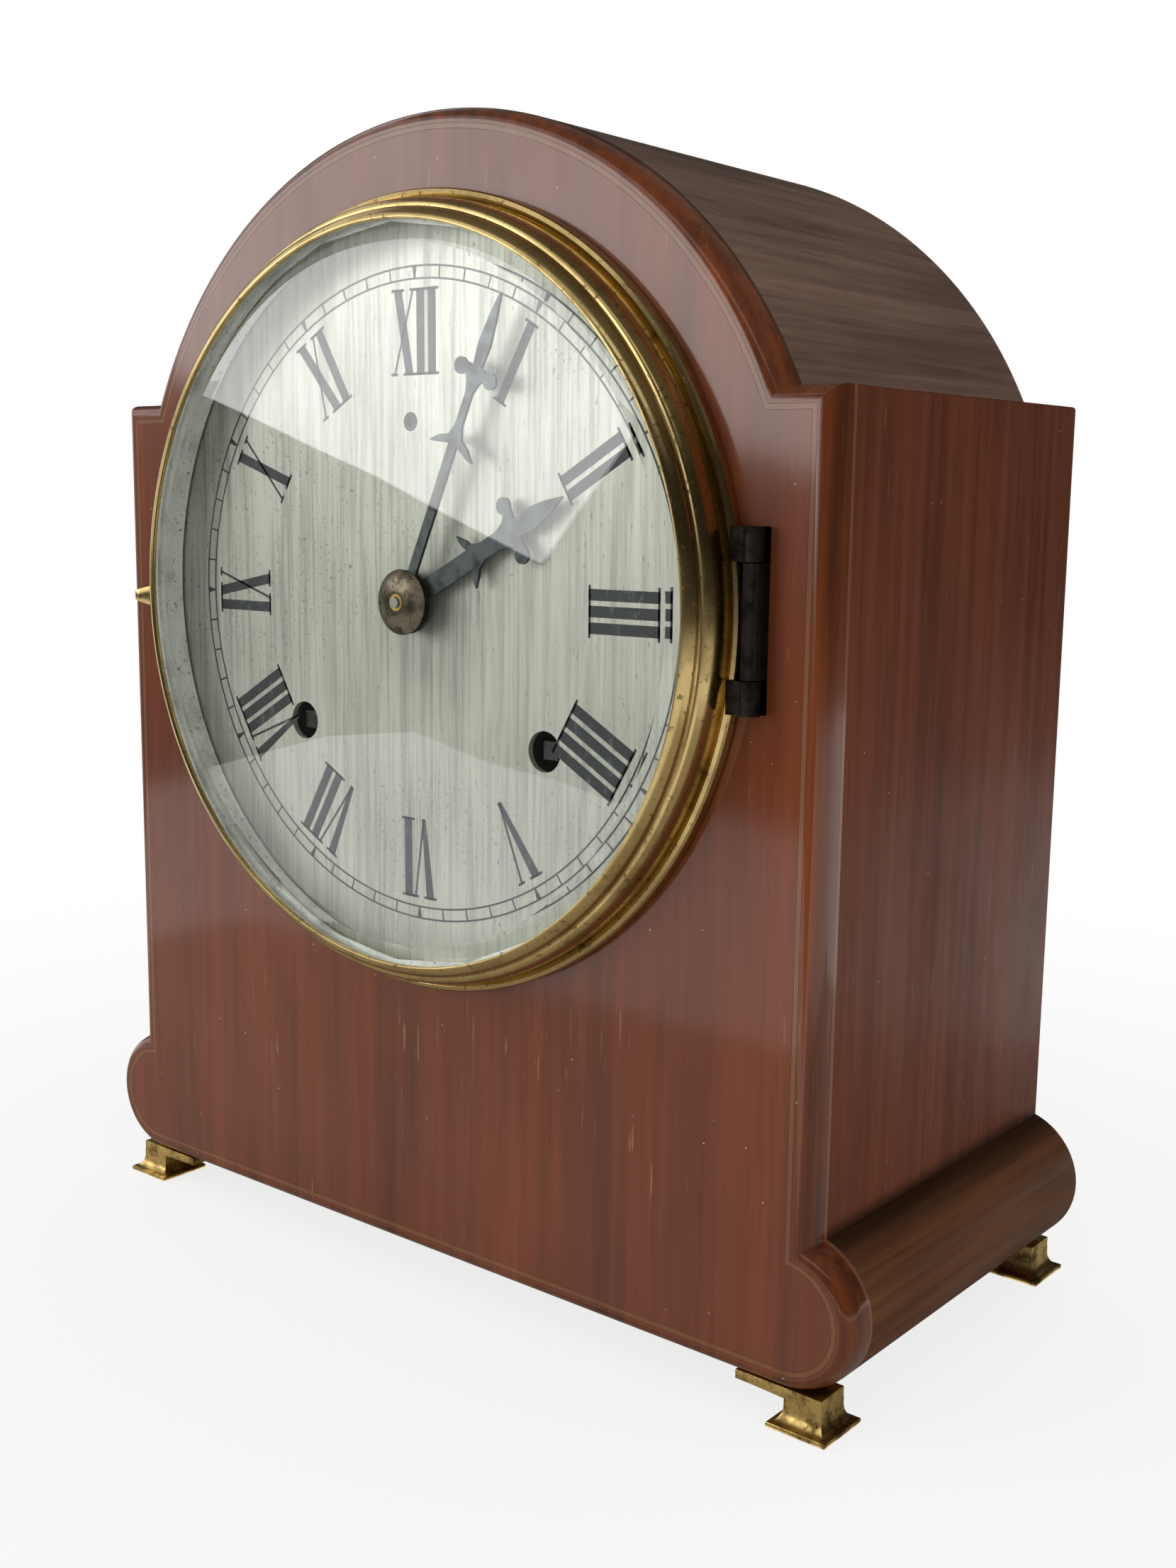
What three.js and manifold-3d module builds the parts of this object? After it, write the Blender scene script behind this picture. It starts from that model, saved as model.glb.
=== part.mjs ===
// Bracket clock with an arched case, a hinged brass bezel, a silvered dial and an eight-day
// striking movement. Millimetres. While it is built, x is to the right, y runs from the face of
// the front board to the back, and z is up from the middle of the dial. The whole group is then
// lifted and centred, so that it stands on z = 0 with the middle of its depth at y = 0.

import * as THREE from 'three';
import { mergeVertices, toCreasedNormals } from 'three/addons/utils/BufferGeometryUtils.js';
import Module from 'manifold-3d';

const wasm = await Module();
wasm.setup();

// Clearances
const contactGap = 0.3;        // between pieces that touch on a curve or that come apart
const glueLine = 0.06;         // round inlaid stringing, and between pressed pieces
const bushGap = 0.15;          // in the bore of a pressed piece
const runningGap = 0.35;       // round a turning arbor or pipe
const pieceGap = 0.3;          // along an arbor, between what turns and what stands

// Case
const sideMargin = 18.5;        // from the bezel's flange to the side of the case
const archMargin = 15.5;        // from the flange to the top of the arch
const caseDepth = 109.8;
const dialAboveCaseBottom = 162.2;
const shoulderAboveDial = 47.2;
const archCentreAboveDial = 2.4;
const lobeRadius = 17;          // half-round swelling along the foot of each side
const lobeProud = 12;           // how far it stands out from the side
const boardThickness = 8.4;
const sideThickness = 8;
const roofThickness = 5;
const baseThickness = 12;
const railWidth = 12;
const railHeight = 12;
const backThickness = 8;
const backRecess = 0.4;
const archSteps = 20;
const lobeSteps = 6;

// Front board edge and stringing
const ovoloWidth = 3;
const ovoloDepth = 5;
const ovoloSteps = 3;
const stringWidth = 1.3;
const stringDepth = 1.2;
const stringInset = 3.85;
const edgeStringWidth = 1.2;    // along the depth of the case

// Feet
const footHeight = 8.8;
const footBase = 14.8;
const footNeck = 9.3;
const footPadLength = 22;
const footPadThickness = 2.2;
const footPadProud = 4;         // past the side of the case
const frontFootSetback = 6.6;
const backFootSetback = 2.4;    // from the back of the case to the middle of the foot

// Bezel, glass and hinge
const flangeOverlap = 3.9;      // how far the flange covers the board round its opening
const flangeWidth = 2.6;        // flat part of the flange, outside the cove
const coveWidth = 2.5;
const flangeThickness = 3.2;
const bezelHeight = 12.7;       // from the back of the flange to the top of the rim
const bezelWall = 1.1;
const glassRadius = 86;
const glassThickness = 3.1;
const glassBevelWidth = 5.8;
const glassBevelDrop = 1.5;
const rimLip = 1.1;             // how far the rim holds the glass in front
const rimHeight = 1.4;
const retainerWidth = 1.6;
const retainerThickness = 1.2;
const roundSteps = 44;
const hingeRadius = 2.2;
const hingePinRadius = 0.9;
const hingeAxisOut = 2.7;       // from the edge of the flange, and in front of the board
const hingeTop = 19.5;
const hingeBottom = -18.4;
const hingeEndLength = 7;
const hingePlateWidth = 9;
const hingePlateThickness = 1.4;
const lugReach = 9.4;
const lugHeight = 6;
const lugBelowCentre = 3;

// Dial
const dialGap = 0.4;            // round the dial in the opening
const ringMargin = 12.2;        // from the edge of the dial to the minute ring
const dialThickness = 1.5;
const dialSetback = 0.2;
const windingHoleRadius = 4.7;
const windingX = 39.5;
const windingZ = -31.6;
const dialCentreHole = 3.35;
const regulatorX = -2;
const regulatorZ = 41.3;
const regulatorHoleRadius = 2.2;
const dialFootRadius = 2;
const dialFeet = [[-50, 34], [50, 34], [-14, -38], [14, -38]];

// Hands, read at four minutes past two
const minuteHandAngle = 24;
const hourHandAngle = 62;
const handThickness = 0.8;
const hourHandFront = -3;
const minuteHandFront = -4.8;
const colletRadius = 7.6;
const colletHeight = 1.9;
const arborTipFront = -7.5;

// Movement
const plateHalfWidth = 66;
const plateTop = 52;
const plateBottom = -64;
const plateThickness = 2.5;
const frontPlateSetback = 16;
const plateSpacing = 37.5;
const plateCorner = 5;
const pillarRadius = 4;
const pillarInset = 7;
const strapHeight = 8;
const strapThickness = 2;
const strapPast = 1.4;           // past the edge of the board's opening
const strapPad = 11;
const arborRadius = 1.2;
const cannonRadius = 2;
const hourPipeRadius = 2.9;
const wheelThickness = 1.6;
const toothTip = 0.7;            // beyond the pitch circle, in modules
const toothRoot = 1.3;
const motionModule = 0.8;
const cannonTeeth = 12;
const minuteWheelTeeth = 36;
const minutePinionTeeth = 10;
const hourWheelTeeth = 40;
const minuteWheelBearing = -45;  // degrees from twelve, seen from the front

// Spring barrels
const barrelRadius = 20.5;
const barrelLength = 22;
const greatModule = 1.09;
const greatWheelTeeth = 48;
const barrelPinionTeeth = 8;
const greatWheelThickness = 2.4;
const barrelArborRadius = 3;
const windingSquare = 4.2;
const squareSetback = 2.5;
const ratchetRadius = 9;
const ratchetTeeth = 15;

// Going train
const trainArborRadius = 1.2;
const trainWheelThickness = 1.5;
const trainHubRadius = 4.6;      // inside the windows of a wheel
const intermediateTeeth = 40;
const centrePinionTeeth = 8;
const centreTeeth = 48;
const centreModule = 0.74;
const thirdPinionTeeth = 6;
const thirdTeeth = 45;
const thirdModule = 0.64;
const escapePinionTeeth = 6;
const escapeTeeth = 30;
const escapeRadius = 10.5;
const escapeToothDepth = 2.2;
const escapeAboveCentre = 20.5;
const palletArborLift = 14.6;    // above the escape arbor
const palletDrop = 0.85;         // from the circle of the escape teeth to each pallet at rest
const palletSpread = 45;         // degrees from upright, seen from the escape arbor
const intermediateFront = 50.2;
const centreWheelFront = 44;
const thirdWheelFront = 38;
const escapeWheelFront = 30;

// Strike train and hammer
const pinWheelTeeth = 40;
const pinWheelModule = 0.7;
const pinWheelBearing = 6;       // degrees, from the strike barrel
const flyPinionTeeth = 6;
const flyBearing = 16;
const flyReach = 12;
const flyLength = 12;
const flyFront = 30;
const strikePins = 8;
const strikePinCircle = 11.4;
const strikePinRadius = 0.7;
const hammerArbor = [-50, 8];
const hammerTail = 3.4;
const hammerHeadRadius = 4.4;
const hammerHeadLength = 10;
const hammerGap = 1.2;           // from the head at rest to the outer turn of the gong

// Pendulum, cock and anchor
const cockWidth = 18;
const cockReach = 14;
const cockTop = 50;
const crutchBelowPivot = 36;
const crutchGap = 0.4;
const pendulumPivotZ = 42;
const pendulumSetback = 8;       // behind the back plate
const rodRadius = 1.1;
const bobRadius = 19;
const bobThickness = 9;
const bobCentreZ = -104;

// Gong on its stand
const gongWire = 2.2;
const gongPitch = 4.6;
const gongTurns = 4;
const gongSteps = 16;            // to a turn
const gongInnerRadius = 12;
const gongCentreX = -30;
const gongCentreZ = -90;
const gongToBack = 11.4;         // from the back board to the middle of the wire
const standWidth = 14;
const standHeight = 9;

// Back door
const doorHalfWidth = 74;
const doorBottomAboveBase = 14;
const doorSpringAboveDial = 14;
const doorGap = 0.8;
const doorThickness = 8;
const doorSteps = 20;
const doorHingeRadius = 2;
const doorHingePinRadius = 0.8;
const doorHingeLength = 30;
const doorHingeLeaf = 9;
const doorHingeLeafThickness = 1;
const doorHingeUpperZ = 0;
const doorHingeLowerZ = -110;
const doorKnobRadius = 5.5;
const doorKnobInset = 10;
const doorKnobDrop = 50;
const doorKnobLength = 4.2;

// Colours, roughness and metalness
const mahoganyFront = { color: 0x6b3a2a, roughness: 0.42, metalness: 0 };
const mahoganySide = { color: 0x57362a, roughness: 0.48, metalness: 0 };
const mahoganyDark = { color: 0x3f2e28, roughness: 0.5, metalness: 0 };
const innerWood = { color: 0x8a6444, roughness: 0.7, metalness: 0 };
const boxwood = { color: 0xc49360, roughness: 0.5, metalness: 0 };
const oldBrass = { color: 0xb08d3e, roughness: 0.34, metalness: 0.95 };
const brightBrass = { color: 0xc8a24e, roughness: 0.28, metalness: 0.95 };
const silvered = { color: 0xc2c6bb, roughness: 0.45, metalness: 0.5 };
const darkSteel = { color: 0x2b2c2e, roughness: 0.4, metalness: 0.7 };
const steel = { color: 0x9a9c9e, roughness: 0.35, metalness: 0.9 };
const glassLook = { color: 0xdfe6e2, roughness: 0.05, metalness: 0 };

// Derived places
const wallRadius = glassRadius + contactGap + bezelWall;
const flangeRadius = wallRadius + coveWidth + flangeWidth;
const openingRadius = flangeRadius - flangeOverlap;
const dialRadius = openingRadius - dialGap;
const half = flangeRadius + sideMargin;
const archRadius = flangeRadius + archMargin;
const bottomZ = -dialAboveCaseBottom;
const lobeX = half + lobeProud - lobeRadius;
const lobeZ = bottomZ + lobeRadius;
const lobeTopZ = lobeZ + Math.sqrt(lobeRadius ** 2 - (half - lobeX) ** 2);
const shoulderZ = shoulderAboveDial;
const archZ = archCentreAboveDial;
const sideInner = half - sideThickness;
const mouldingInner = sideInner - 3;
const baseTop = bottomZ + baseThickness;
const backFace = caseDepth - backRecess;
const backInner = backFace - backThickness;
const flangeBack = -contactGap;
const bezelFront = flangeBack - bezelHeight;
const glassFront = bezelFront + rimHeight + glueLine;
const glassBack = glassFront + glassThickness;
const hingeX = flangeRadius + hingeAxisOut;
const hingeY = -hingeAxisOut;
const frontPlateFront = frontPlateSetback;
const frontPlateBack = frontPlateFront + plateThickness;
const backPlateFront = frontPlateBack + plateSpacing;
const backPlateBack = backPlateFront + plateThickness;
const dialFront = dialSetback;
const dialBack = dialFront + dialThickness;
const motionDistance = motionModule * (cannonTeeth + minuteWheelTeeth) / 2;
const hourModule = motionDistance * 2 / (minutePinionTeeth + hourWheelTeeth);
const minuteArbor = polar(motionDistance, minuteWheelBearing);
const goingBarrel = [windingX, windingZ];
const strikeBarrel = [-windingX, windingZ];
const barrelReach = greatModule * (greatWheelTeeth + barrelPinionTeeth) / 2;
const barrelDistance = Math.hypot(windingX, windingZ);
const centrePlace = [0, 0];
const intermediatePlace = goingBarrel.map((v) => v * (1 - barrelReach / barrelDistance));
const intermediateModule = 2 * (barrelDistance - barrelReach) / (intermediateTeeth + centrePinionTeeth);
const escapePlace = [0, escapeAboveCentre];
const thirdPlace = placeBetween(centrePlace, escapePlace,
  centreModule * (centreTeeth + thirdPinionTeeth) / 2, thirdModule * (thirdTeeth + escapePinionTeeth) / 2);
const palletPlace = [0, escapeAboveCentre + palletArborLift];
const pinWheelPlace = offset(strikeBarrel, barrelReach, pinWheelBearing);
const flyPlace = offset(pinWheelPlace, pinWheelModule * (pinWheelTeeth + flyPinionTeeth) / 2, flyBearing);
const pendulumY = backPlateBack + pendulumSetback;
const gongY = backInner - gongToBack;
const strapReach = openingRadius + strapPast;
const barrelFront = frontPlateBack + 6;

// ---- Geometry helpers ----

// Point at a distance from the dial centre, at a clock angle in degrees.
function polar(radius, bearing) {
  const a = THREE.MathUtils.degToRad(bearing);
  return [radius * Math.sin(a), radius * Math.cos(a)];
}

// Point at a distance and a clock angle from another.
function offset([x, z], radius, bearing) {
  const [dx, dz] = polar(radius, bearing);
  return [x + dx, z + dz];
}

// Turns a geometry inside out when its faces point inwards.
function faceOutwards(geometry) {
  const p = geometry.attributes.position;
  const index = geometry.index.array;
  const [a, b, c] = [new THREE.Vector3(), new THREE.Vector3(), new THREE.Vector3()];
  let volume = 0;
  for (let i = 0; i < index.length; i += 3) {
    a.fromBufferAttribute(p, index[i]);
    b.fromBufferAttribute(p, index[i + 1]);
    c.fromBufferAttribute(p, index[i + 2]);
    volume += a.dot(b.cross(c));
  }
  if (volume < 0) {
    for (let i = 0; i < index.length; i += 3) {
      [index[i], index[i + 1]] = [index[i + 1], index[i]];
    }
  }
  return geometry;
}

// Closed geometry with shared vertices and no collapsed triangles.
function closed(geometry) {
  for (const name of Object.keys(geometry.attributes)) {
    if (name !== 'position') geometry.deleteAttribute(name);
  }
  geometry.clearGroups();
  const merged = mergeVertices(geometry, 1e-5);
  const index = merged.index.array;
  const kept = [];
  for (let i = 0; i < index.length; i += 3) {
    const [a, b, c] = [index[i], index[i + 1], index[i + 2]];
    if (a !== b && b !== c && a !== c) kept.push(a, b, c);
  }
  merged.setIndex(kept);
  return faceOutwards(merged);
}

function toSolid(geometry) {
  const shut = closed(geometry);
  return new wasm.Manifold(new wasm.Mesh({
    numProp: 3,
    vertProperties: new Float32Array(shut.attributes.position.array),
    triVerts: new Uint32Array(shut.index.array),
  }));
}

function fromSolid(solid) {
  const mesh = solid.getMesh();
  const geometry = new THREE.BufferGeometry();
  geometry.setAttribute('position', new THREE.BufferAttribute(mesh.vertProperties, 3));
  geometry.setIndex(new THREE.BufferAttribute(mesh.triVerts, 1));
  return geometry;
}

function cut(base, ...tools) {
  return fromSolid(tools.reduce((solid, tool) => solid.subtract(toSolid(tool)), toSolid(base)));
}

function join(base, ...more) {
  return fromSolid(more.reduce((solid, piece) => solid.add(toSolid(piece)), toSolid(base)));
}

function shapeOf(points, holes = []) {
  const shape = new THREE.Shape(points.map(([x, y]) => new THREE.Vector2(x, y)));
  shape.holes = holes.map((hole) => new THREE.Path(hole.map(([x, y]) => new THREE.Vector2(x, y))));
  return shape;
}

// Outline in x and z, extruded along y.
function extrudeY(points, y0, y1, holes) {
  const geometry = new THREE.ExtrudeGeometry(shapeOf(points, holes), {
    depth: y1 - y0, bevelEnabled: false, steps: 1,
  });
  return geometry.rotateX(Math.PI / 2).translate(0, y1, 0);
}

// Outline in x and y, extruded along z.
function extrudeZ(points, z0, z1) {
  const geometry = new THREE.ExtrudeGeometry(shapeOf(points), {
    depth: z1 - z0, bevelEnabled: false, steps: 1,
  });
  return geometry.translate(0, 0, z0);
}

function box(x0, x1, y0, y1, z0, z1) {
  return new THREE.BoxGeometry(x1 - x0, y1 - y0, z1 - z0)
    .translate((x0 + x1) / 2, (y0 + y1) / 2, (z0 + z1) / 2);
}

// Profile of [radius, y] turned about a line along y through (x, z).
function turned(profile, steps, x = 0, z = 0) {
  const points = profile.map(([r, y]) => new THREE.Vector2(r, y));
  return new THREE.LatheGeometry(points, steps).translate(x, 0, z);
}

function rod(radius, y0, y1, steps, x = 0, z = 0) {
  return turned([[0, y0], [radius, y0], [radius, y1], [0, y1]], steps, x, z);
}

function tube(inner, outer, y0, y1, steps, x = 0, z = 0) {
  return turned([[inner, y0], [outer, y0], [outer, y1], [inner, y1], [inner, y0]], steps, x, z);
}

// Rod along z through (x, y).
function upright(radius, z0, z1, steps, x, y) {
  const points = [[0, z0], [radius, z0], [radius, z1], [0, z1]];
  return new THREE.LatheGeometry(points.map(([r, h]) => new THREE.Vector2(r, h)), steps)
    .rotateX(Math.PI / 2).translate(x, y, 0);
}

function arc(cx, cz, radius, from, to, steps) {
  const points = [];
  for (let i = 0; i <= steps; i += 1) {
    const a = from + (to - from) * i / steps;
    points.push([cx + radius * Math.cos(a), cz + radius * Math.sin(a)]);
  }
  return points;
}

function circle(radius, steps, x = 0, z = 0) {
  return arc(x, z, radius, 0, Math.PI * 2, steps).slice(0, -1);
}

// Skin through rings of equally many points, closed with a flat cap at each end.
function loft(rings) {
  const count = rings[0].points.length;
  const positions = [];
  const index = [];
  for (const ring of rings) {
    for (const [x, z] of ring.points) positions.push(x, ring.y, z);
  }
  for (let k = 0; k + 1 < rings.length; k += 1) {
    for (let i = 0; i < count; i += 1) {
      const [a, b] = [k * count + i, k * count + (i + 1) % count];
      index.push(a, b, b + count, a, b + count, a + count);
    }
  }
  const contour = (ring) => ring.points.map(([x, z]) => new THREE.Vector2(x, z));
  const last = (rings.length - 1) * count;
  for (const [a, b, c] of THREE.ShapeUtils.triangulateShape(contour(rings[0]), [])) index.push(a, c, b);
  for (const [a, b, c] of THREE.ShapeUtils.triangulateShape(contour(rings.at(-1)), [])) {
    index.push(last + a, last + b, last + c);
  }
  const geometry = new THREE.BufferGeometry();
  geometry.setAttribute('position', new THREE.Float32BufferAttribute(positions, 3));
  geometry.setIndex(index);
  return geometry;
}

// Toothed outline with fine pointed teeth, one of them at the given bearing in radians.
function toothed(teeth, module, phase, [x, z] = [0, 0]) {
  const points = [];
  const tip = module * (teeth / 2 + toothTip);
  const root = module * (teeth / 2 - toothRoot);
  for (let i = 0; i < teeth * 2; i += 1) {
    const a = phase + i * Math.PI / teeth;
    const radius = i % 2 ? root : tip;
    points.push([x + radius * Math.sin(a), z + radius * Math.cos(a)]);
  }
  return points.reverse();
}

// Phase that puts a gear in mesh with another one, which it lies at a bearing from.
function meshPhase(phase, teeth, ownTeeth, bearing) {
  const pitch = Math.PI * 2 / teeth;
  const lead = (((phase - bearing) % pitch) + pitch) % pitch;
  return bearing + Math.PI - lead * teeth / ownTeeth + Math.PI / ownTeeth;
}

function bearingOf([x0, z0], [x1, z1]) {
  return Math.atan2(x1 - x0, z1 - z0);
}

// Place at given distances from two others, on the side to the right of the way from a to b.
function placeBetween(a, b, fromA, fromB) {
  const [dx, dz] = [b[0] - a[0], b[1] - a[1]];
  const d = Math.hypot(dx, dz);
  const along = (fromA ** 2 - fromB ** 2 + d ** 2) / (2 * d);
  const across = Math.sqrt(fromA ** 2 - along ** 2);
  return [a[0] + (dx * along + dz * across) / d, a[1] + (dz * along - dx * across) / d];
}

// Windows that leave spokes in a wheel, going round a centre.
function crossings(count, inner, outer, [x, z], turn = 0) {
  const windows = [];
  for (let i = 0; i < count; i += 1) {
    const middle = turn + Math.PI * 2 * i / count;
    const reach = Math.PI / count;
    const spoke = 1.1;
    windows.push([
      ...arc(x, z, outer, middle - reach + spoke / outer, middle + reach - spoke / outer, 2),
      ...arc(x, z, inner, middle + reach - spoke / inner, middle - reach + spoke / inner, 1),
    ]);
  }
  return windows;
}

// ---- Case ----

// Outline of the case front, drawn in by a distance all round.
function caseOutline(inset) {
  const bottom = bottomZ + inset;
  const side = half - inset;
  const shoulder = shoulderZ - inset;
  const lobe = lobeRadius - inset;
  const arch = archRadius - inset;
  const lobeEnd = Math.acos((side - lobeX) / lobe);
  const archStart = Math.asin((shoulder - archZ) / arch);
  const right = [
    ...arc(lobeX, lobeZ, lobe, -Math.PI / 2, lobeEnd, lobeSteps),
    [side, shoulder],
  ];
  const left = right.map(([x, z]) => [-x, z]).reverse();
  return [...right, ...arc(0, archZ, arch, archStart, Math.PI - archStart, archSteps), ...left];
}

function frontBoard() {
  const rings = [];
  for (let i = 0; i <= ovoloSteps; i += 1) {
    const t = Math.PI / 2 * i / ovoloSteps;
    rings.push({ points: caseOutline(ovoloWidth * (1 - Math.sin(t))), y: ovoloDepth * (1 - Math.cos(t)) });
  }
  const rebate = boardThickness - edgeStringWidth;
  rings.push({ points: caseOutline(0), y: rebate });
  rings.push({ points: caseOutline(stringDepth + glueLine), y: rebate });
  rings.push({ points: caseOutline(stringDepth + glueLine), y: boardThickness });
  const groove = extrudeY(caseOutline(stringInset - glueLine), -1, stringDepth + glueLine,
    [caseOutline(stringInset + stringWidth + glueLine)]);
  const plate = box(hingeX - hingePlateWidth + hingeRadius - glueLine, hingeX + hingeRadius + glueLine,
    -1, hingePlateThickness + glueLine, hingeBottom - glueLine, hingeTop + glueLine);
  return cut(loft(rings), rod(openingRadius, -1, boardThickness + 1, roundSteps), groove, plate);
}

function frontStringing() {
  return extrudeY(caseOutline(stringInset), 0, stringDepth, [caseOutline(stringInset + stringWidth)]);
}

function edgeStringing() {
  return extrudeY(caseOutline(0), boardThickness - edgeStringWidth + glueLine, boardThickness,
    [caseOutline(stringDepth)]);
}

function baseMoulding(side) {
  const top = Math.acos((half - lobeX) / lobeRadius);
  const points = [
    [mouldingInner, bottomZ],
    ...arc(lobeX, lobeZ, lobeRadius, -Math.PI / 2, top, lobeSteps),
    [mouldingInner, lobeTopZ],
  ];
  return extrudeY(points.map(([x, z]) => [side * x, z]), boardThickness, caseDepth);
}

function sidePanel(side) {
  const [x0, x1] = side < 0 ? [-half, -sideInner] : [sideInner, half];
  return box(x0, x1, boardThickness, caseDepth, lobeTopZ, shoulderZ);
}

function shoulderRail(side) {
  const [x0, x1] = side < 0 ? [-sideInner, railWidth - sideInner] : [sideInner - railWidth, sideInner];
  return box(x0, x1, boardThickness, backInner - contactGap, shoulderZ - railHeight, shoulderZ);
}

// Arch of the given radius, ending level with the shoulders.
function archOver(radius, reversed = false) {
  const start = Math.asin((shoulderZ - archZ) / radius);
  const points = arc(0, archZ, radius, start, Math.PI - start, archSteps);
  return reversed ? points.reverse() : points;
}

function roofShell() {
  const outline = [...archOver(archRadius), ...archOver(archRadius - roofThickness, true)];
  return extrudeY(outline, boardThickness, caseDepth);
}

function doorOutline(inset) {
  const width = doorHalfWidth - inset;
  const bottom = baseTop + doorBottomAboveBase + inset;
  return [[-width, bottom], [width, bottom],
    ...arc(0, doorSpringAboveDial, width, 0, Math.PI, doorSteps)];
}

function backBoard() {
  const width = sideInner - contactGap;
  const foot = mouldingInner - contactGap;
  const arch = archOver(archRadius - roofThickness - contactGap);
  const right = [[foot, baseTop], [foot, lobeTopZ + contactGap], [width, lobeTopZ + contactGap], [width, shoulderZ]];
  const left = right.map(([x, z]) => [-x, z]).reverse();
  const points = [...right, ...arch, ...left];
  const board = extrudeY(points, backInner, backFace, [doorOutline(0)]);
  const leaves = [doorHingeUpperZ, doorHingeLowerZ].map((z) => box(
    doorHalfWidth - 1, doorHalfWidth + doorHingeLeaf + glueLine,
    backFace - doorHingeLeafThickness - glueLine, backFace + 1,
    z - doorHingeLength / 2 - glueLine, z + doorHingeLength / 2 + glueLine));
  return cut(board, ...leaves);
}

// Square brass foot with a hollow-curved neck, and a pad under the case.
function foot(sideSign, middleY) {
  const x = sideSign * (half + footPadProud - footNeck / 2);
  const root = Math.SQRT2 / 2;
  const floor = bottomZ - footHeight;
  const neck = footNeck;
  const spread = footBase - footNeck;
  const profile = [
    [0, floor], [footBase, floor], [footBase, floor + footHeight * 0.12],
    [neck + spread * 0.45, floor + footHeight * 0.21], [neck + spread * 0.12, floor + footHeight * 0.34],
    [neck, floor + footHeight * 0.52], [neck, bottomZ - footPadThickness / 2], [0, bottomZ - footPadThickness / 2],
  ];
  const post = new THREE.LatheGeometry(
    profile.map(([width, z]) => new THREE.Vector2(width * root, z)), 4, Math.PI / 4)
    .rotateX(Math.PI / 2).translate(x, middleY, 0);
  const outer = sideSign * (half + footPadProud);
  const inner = outer - sideSign * footPadLength;
  const pad = box(Math.min(outer, inner), Math.max(outer, inner), middleY - footNeck / 2,
    middleY + footNeck / 2, bottomZ - footPadThickness, bottomZ);
  return join(post, pad);
}

// ---- Bezel ----

function bezelRing() {
  const bore = glassRadius + contactGap;
  const wall = wallRadius;
  const flangeFront = flangeBack - flangeThickness;
  const shoulder = glassFront + 0.8;
  const coveDepth = flangeFront - 0.9 - shoulder;
  const cove = arc(0, 0, 1, Math.PI / 2, Math.PI, 3).map(([across, along]) => [
    wall + (1 + across) * coveWidth, shoulder + along * coveDepth,
  ]);
  const profile = [
    [bore, flangeBack], [flangeRadius, flangeBack], [flangeRadius, flangeFront + 0.9], [flangeRadius - 1.2, flangeFront],
    [flangeRadius - flangeWidth * 0.85, flangeFront + 0.5], ...cove,
    [wall - 0.8, bezelFront], [glassRadius - rimLip, bezelFront + 0.1],
    [glassRadius - rimLip, bezelFront + rimHeight], [bore, bezelFront + rimHeight], [bore, flangeBack],
  ];
  const pieces = [thumbLug()];
  for (const [z0, z1] of [[hingeBottom, hingeBottom + hingeEndLength], [hingeTop - hingeEndLength, hingeTop]]) {
    pieces.push(upright(hingeRadius, z0, z1, 12, hingeX, hingeY));
    pieces.push(box(flangeRadius - flangeWidth, hingeX, hingeY - 1.3, flangeBack - 0.4, z0, z1));
  }
  const ring = join(turned(profile, roundSteps), ...pieces);
  return cut(ring, upright(hingePinRadius + contactGap, hingeBottom - 1, hingeTop + 1, 12, hingeX, hingeY));
}

// Small tongue at nine o'clock that the bezel is opened by.
function thumbLug() {
  const root = -(flangeRadius - 1.5);
  const tip = -(flangeRadius + lugReach);
  const y = flangeBack - flangeThickness / 2;
  const points = [
    [root, y + 1.1], [tip + 5, y + 0.3], [tip + 1.4, y - 1.9], [tip, y - 3.2],
    [tip + 0.6, y - 4.2], [tip + 2.2, y - 3.9], [tip + 5.6, y - 1.9], [root, y - 1.2],
  ];
  const middle = -lugBelowCentre;
  return extrudeZ(points, middle - lugHeight / 2, middle + lugHeight / 2);
}

function bezelGlass() {
  const flat = glassRadius - glassBevelWidth;
  return turned([
    [0, glassFront], [flat, glassFront], [glassRadius, glassFront + glassBevelDrop],
    [glassRadius, glassBack], [0, glassBack],
  ], roundSteps);
}

function glassRetainer() {
  const outer = glassRadius + 0.1;
  return tube(outer - retainerWidth, outer, glassBack + glueLine, glassBack + glueLine + retainerThickness,
    roundSteps / 2);
}

function bezelHingePlate() {
  const z0 = hingeBottom + hingeEndLength + contactGap;
  const z1 = hingeTop - hingeEndLength - contactGap;
  const right = hingeX + hingeRadius;
  const plate = box(right - hingePlateWidth, right, 0, hingePlateThickness, hingeBottom, hingeTop);
  const web = box(hingeX - hingeRadius, right, hingeY, hingePlateThickness / 2, z0, z1);
  const knuckle = upright(hingeRadius, z0, z1, 12, hingeX, hingeY);
  const bore = upright(hingePinRadius + contactGap, z0 - 1, z1 + 1, 12, hingeX, hingeY);
  return cut(join(plate, web, knuckle), bore);
}

function bezelHingePin() {
  return upright(hingePinRadius, hingeBottom + 0.2, hingeTop - 0.2, 10, hingeX, hingeY);
}

// ---- Dial and hands ----

function dialPlate() {
  const holes = [
    circle(dialCentreHole, 16),
    circle(windingHoleRadius, 16, -windingX, windingZ),
    circle(windingHoleRadius, 16, windingX, windingZ),
    circle(regulatorHoleRadius, 10, regulatorX, regulatorZ),
  ];
  const disc = extrudeY(circle(dialRadius, roundSteps), dialFront, dialBack, holes);
  const feet = dialFeet.map(([x, z]) =>
    rod(dialFootRadius, (dialFront + dialBack) / 2, frontPlateFront, 10, x, z));
  return join(disc, ...feet);
}

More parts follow.
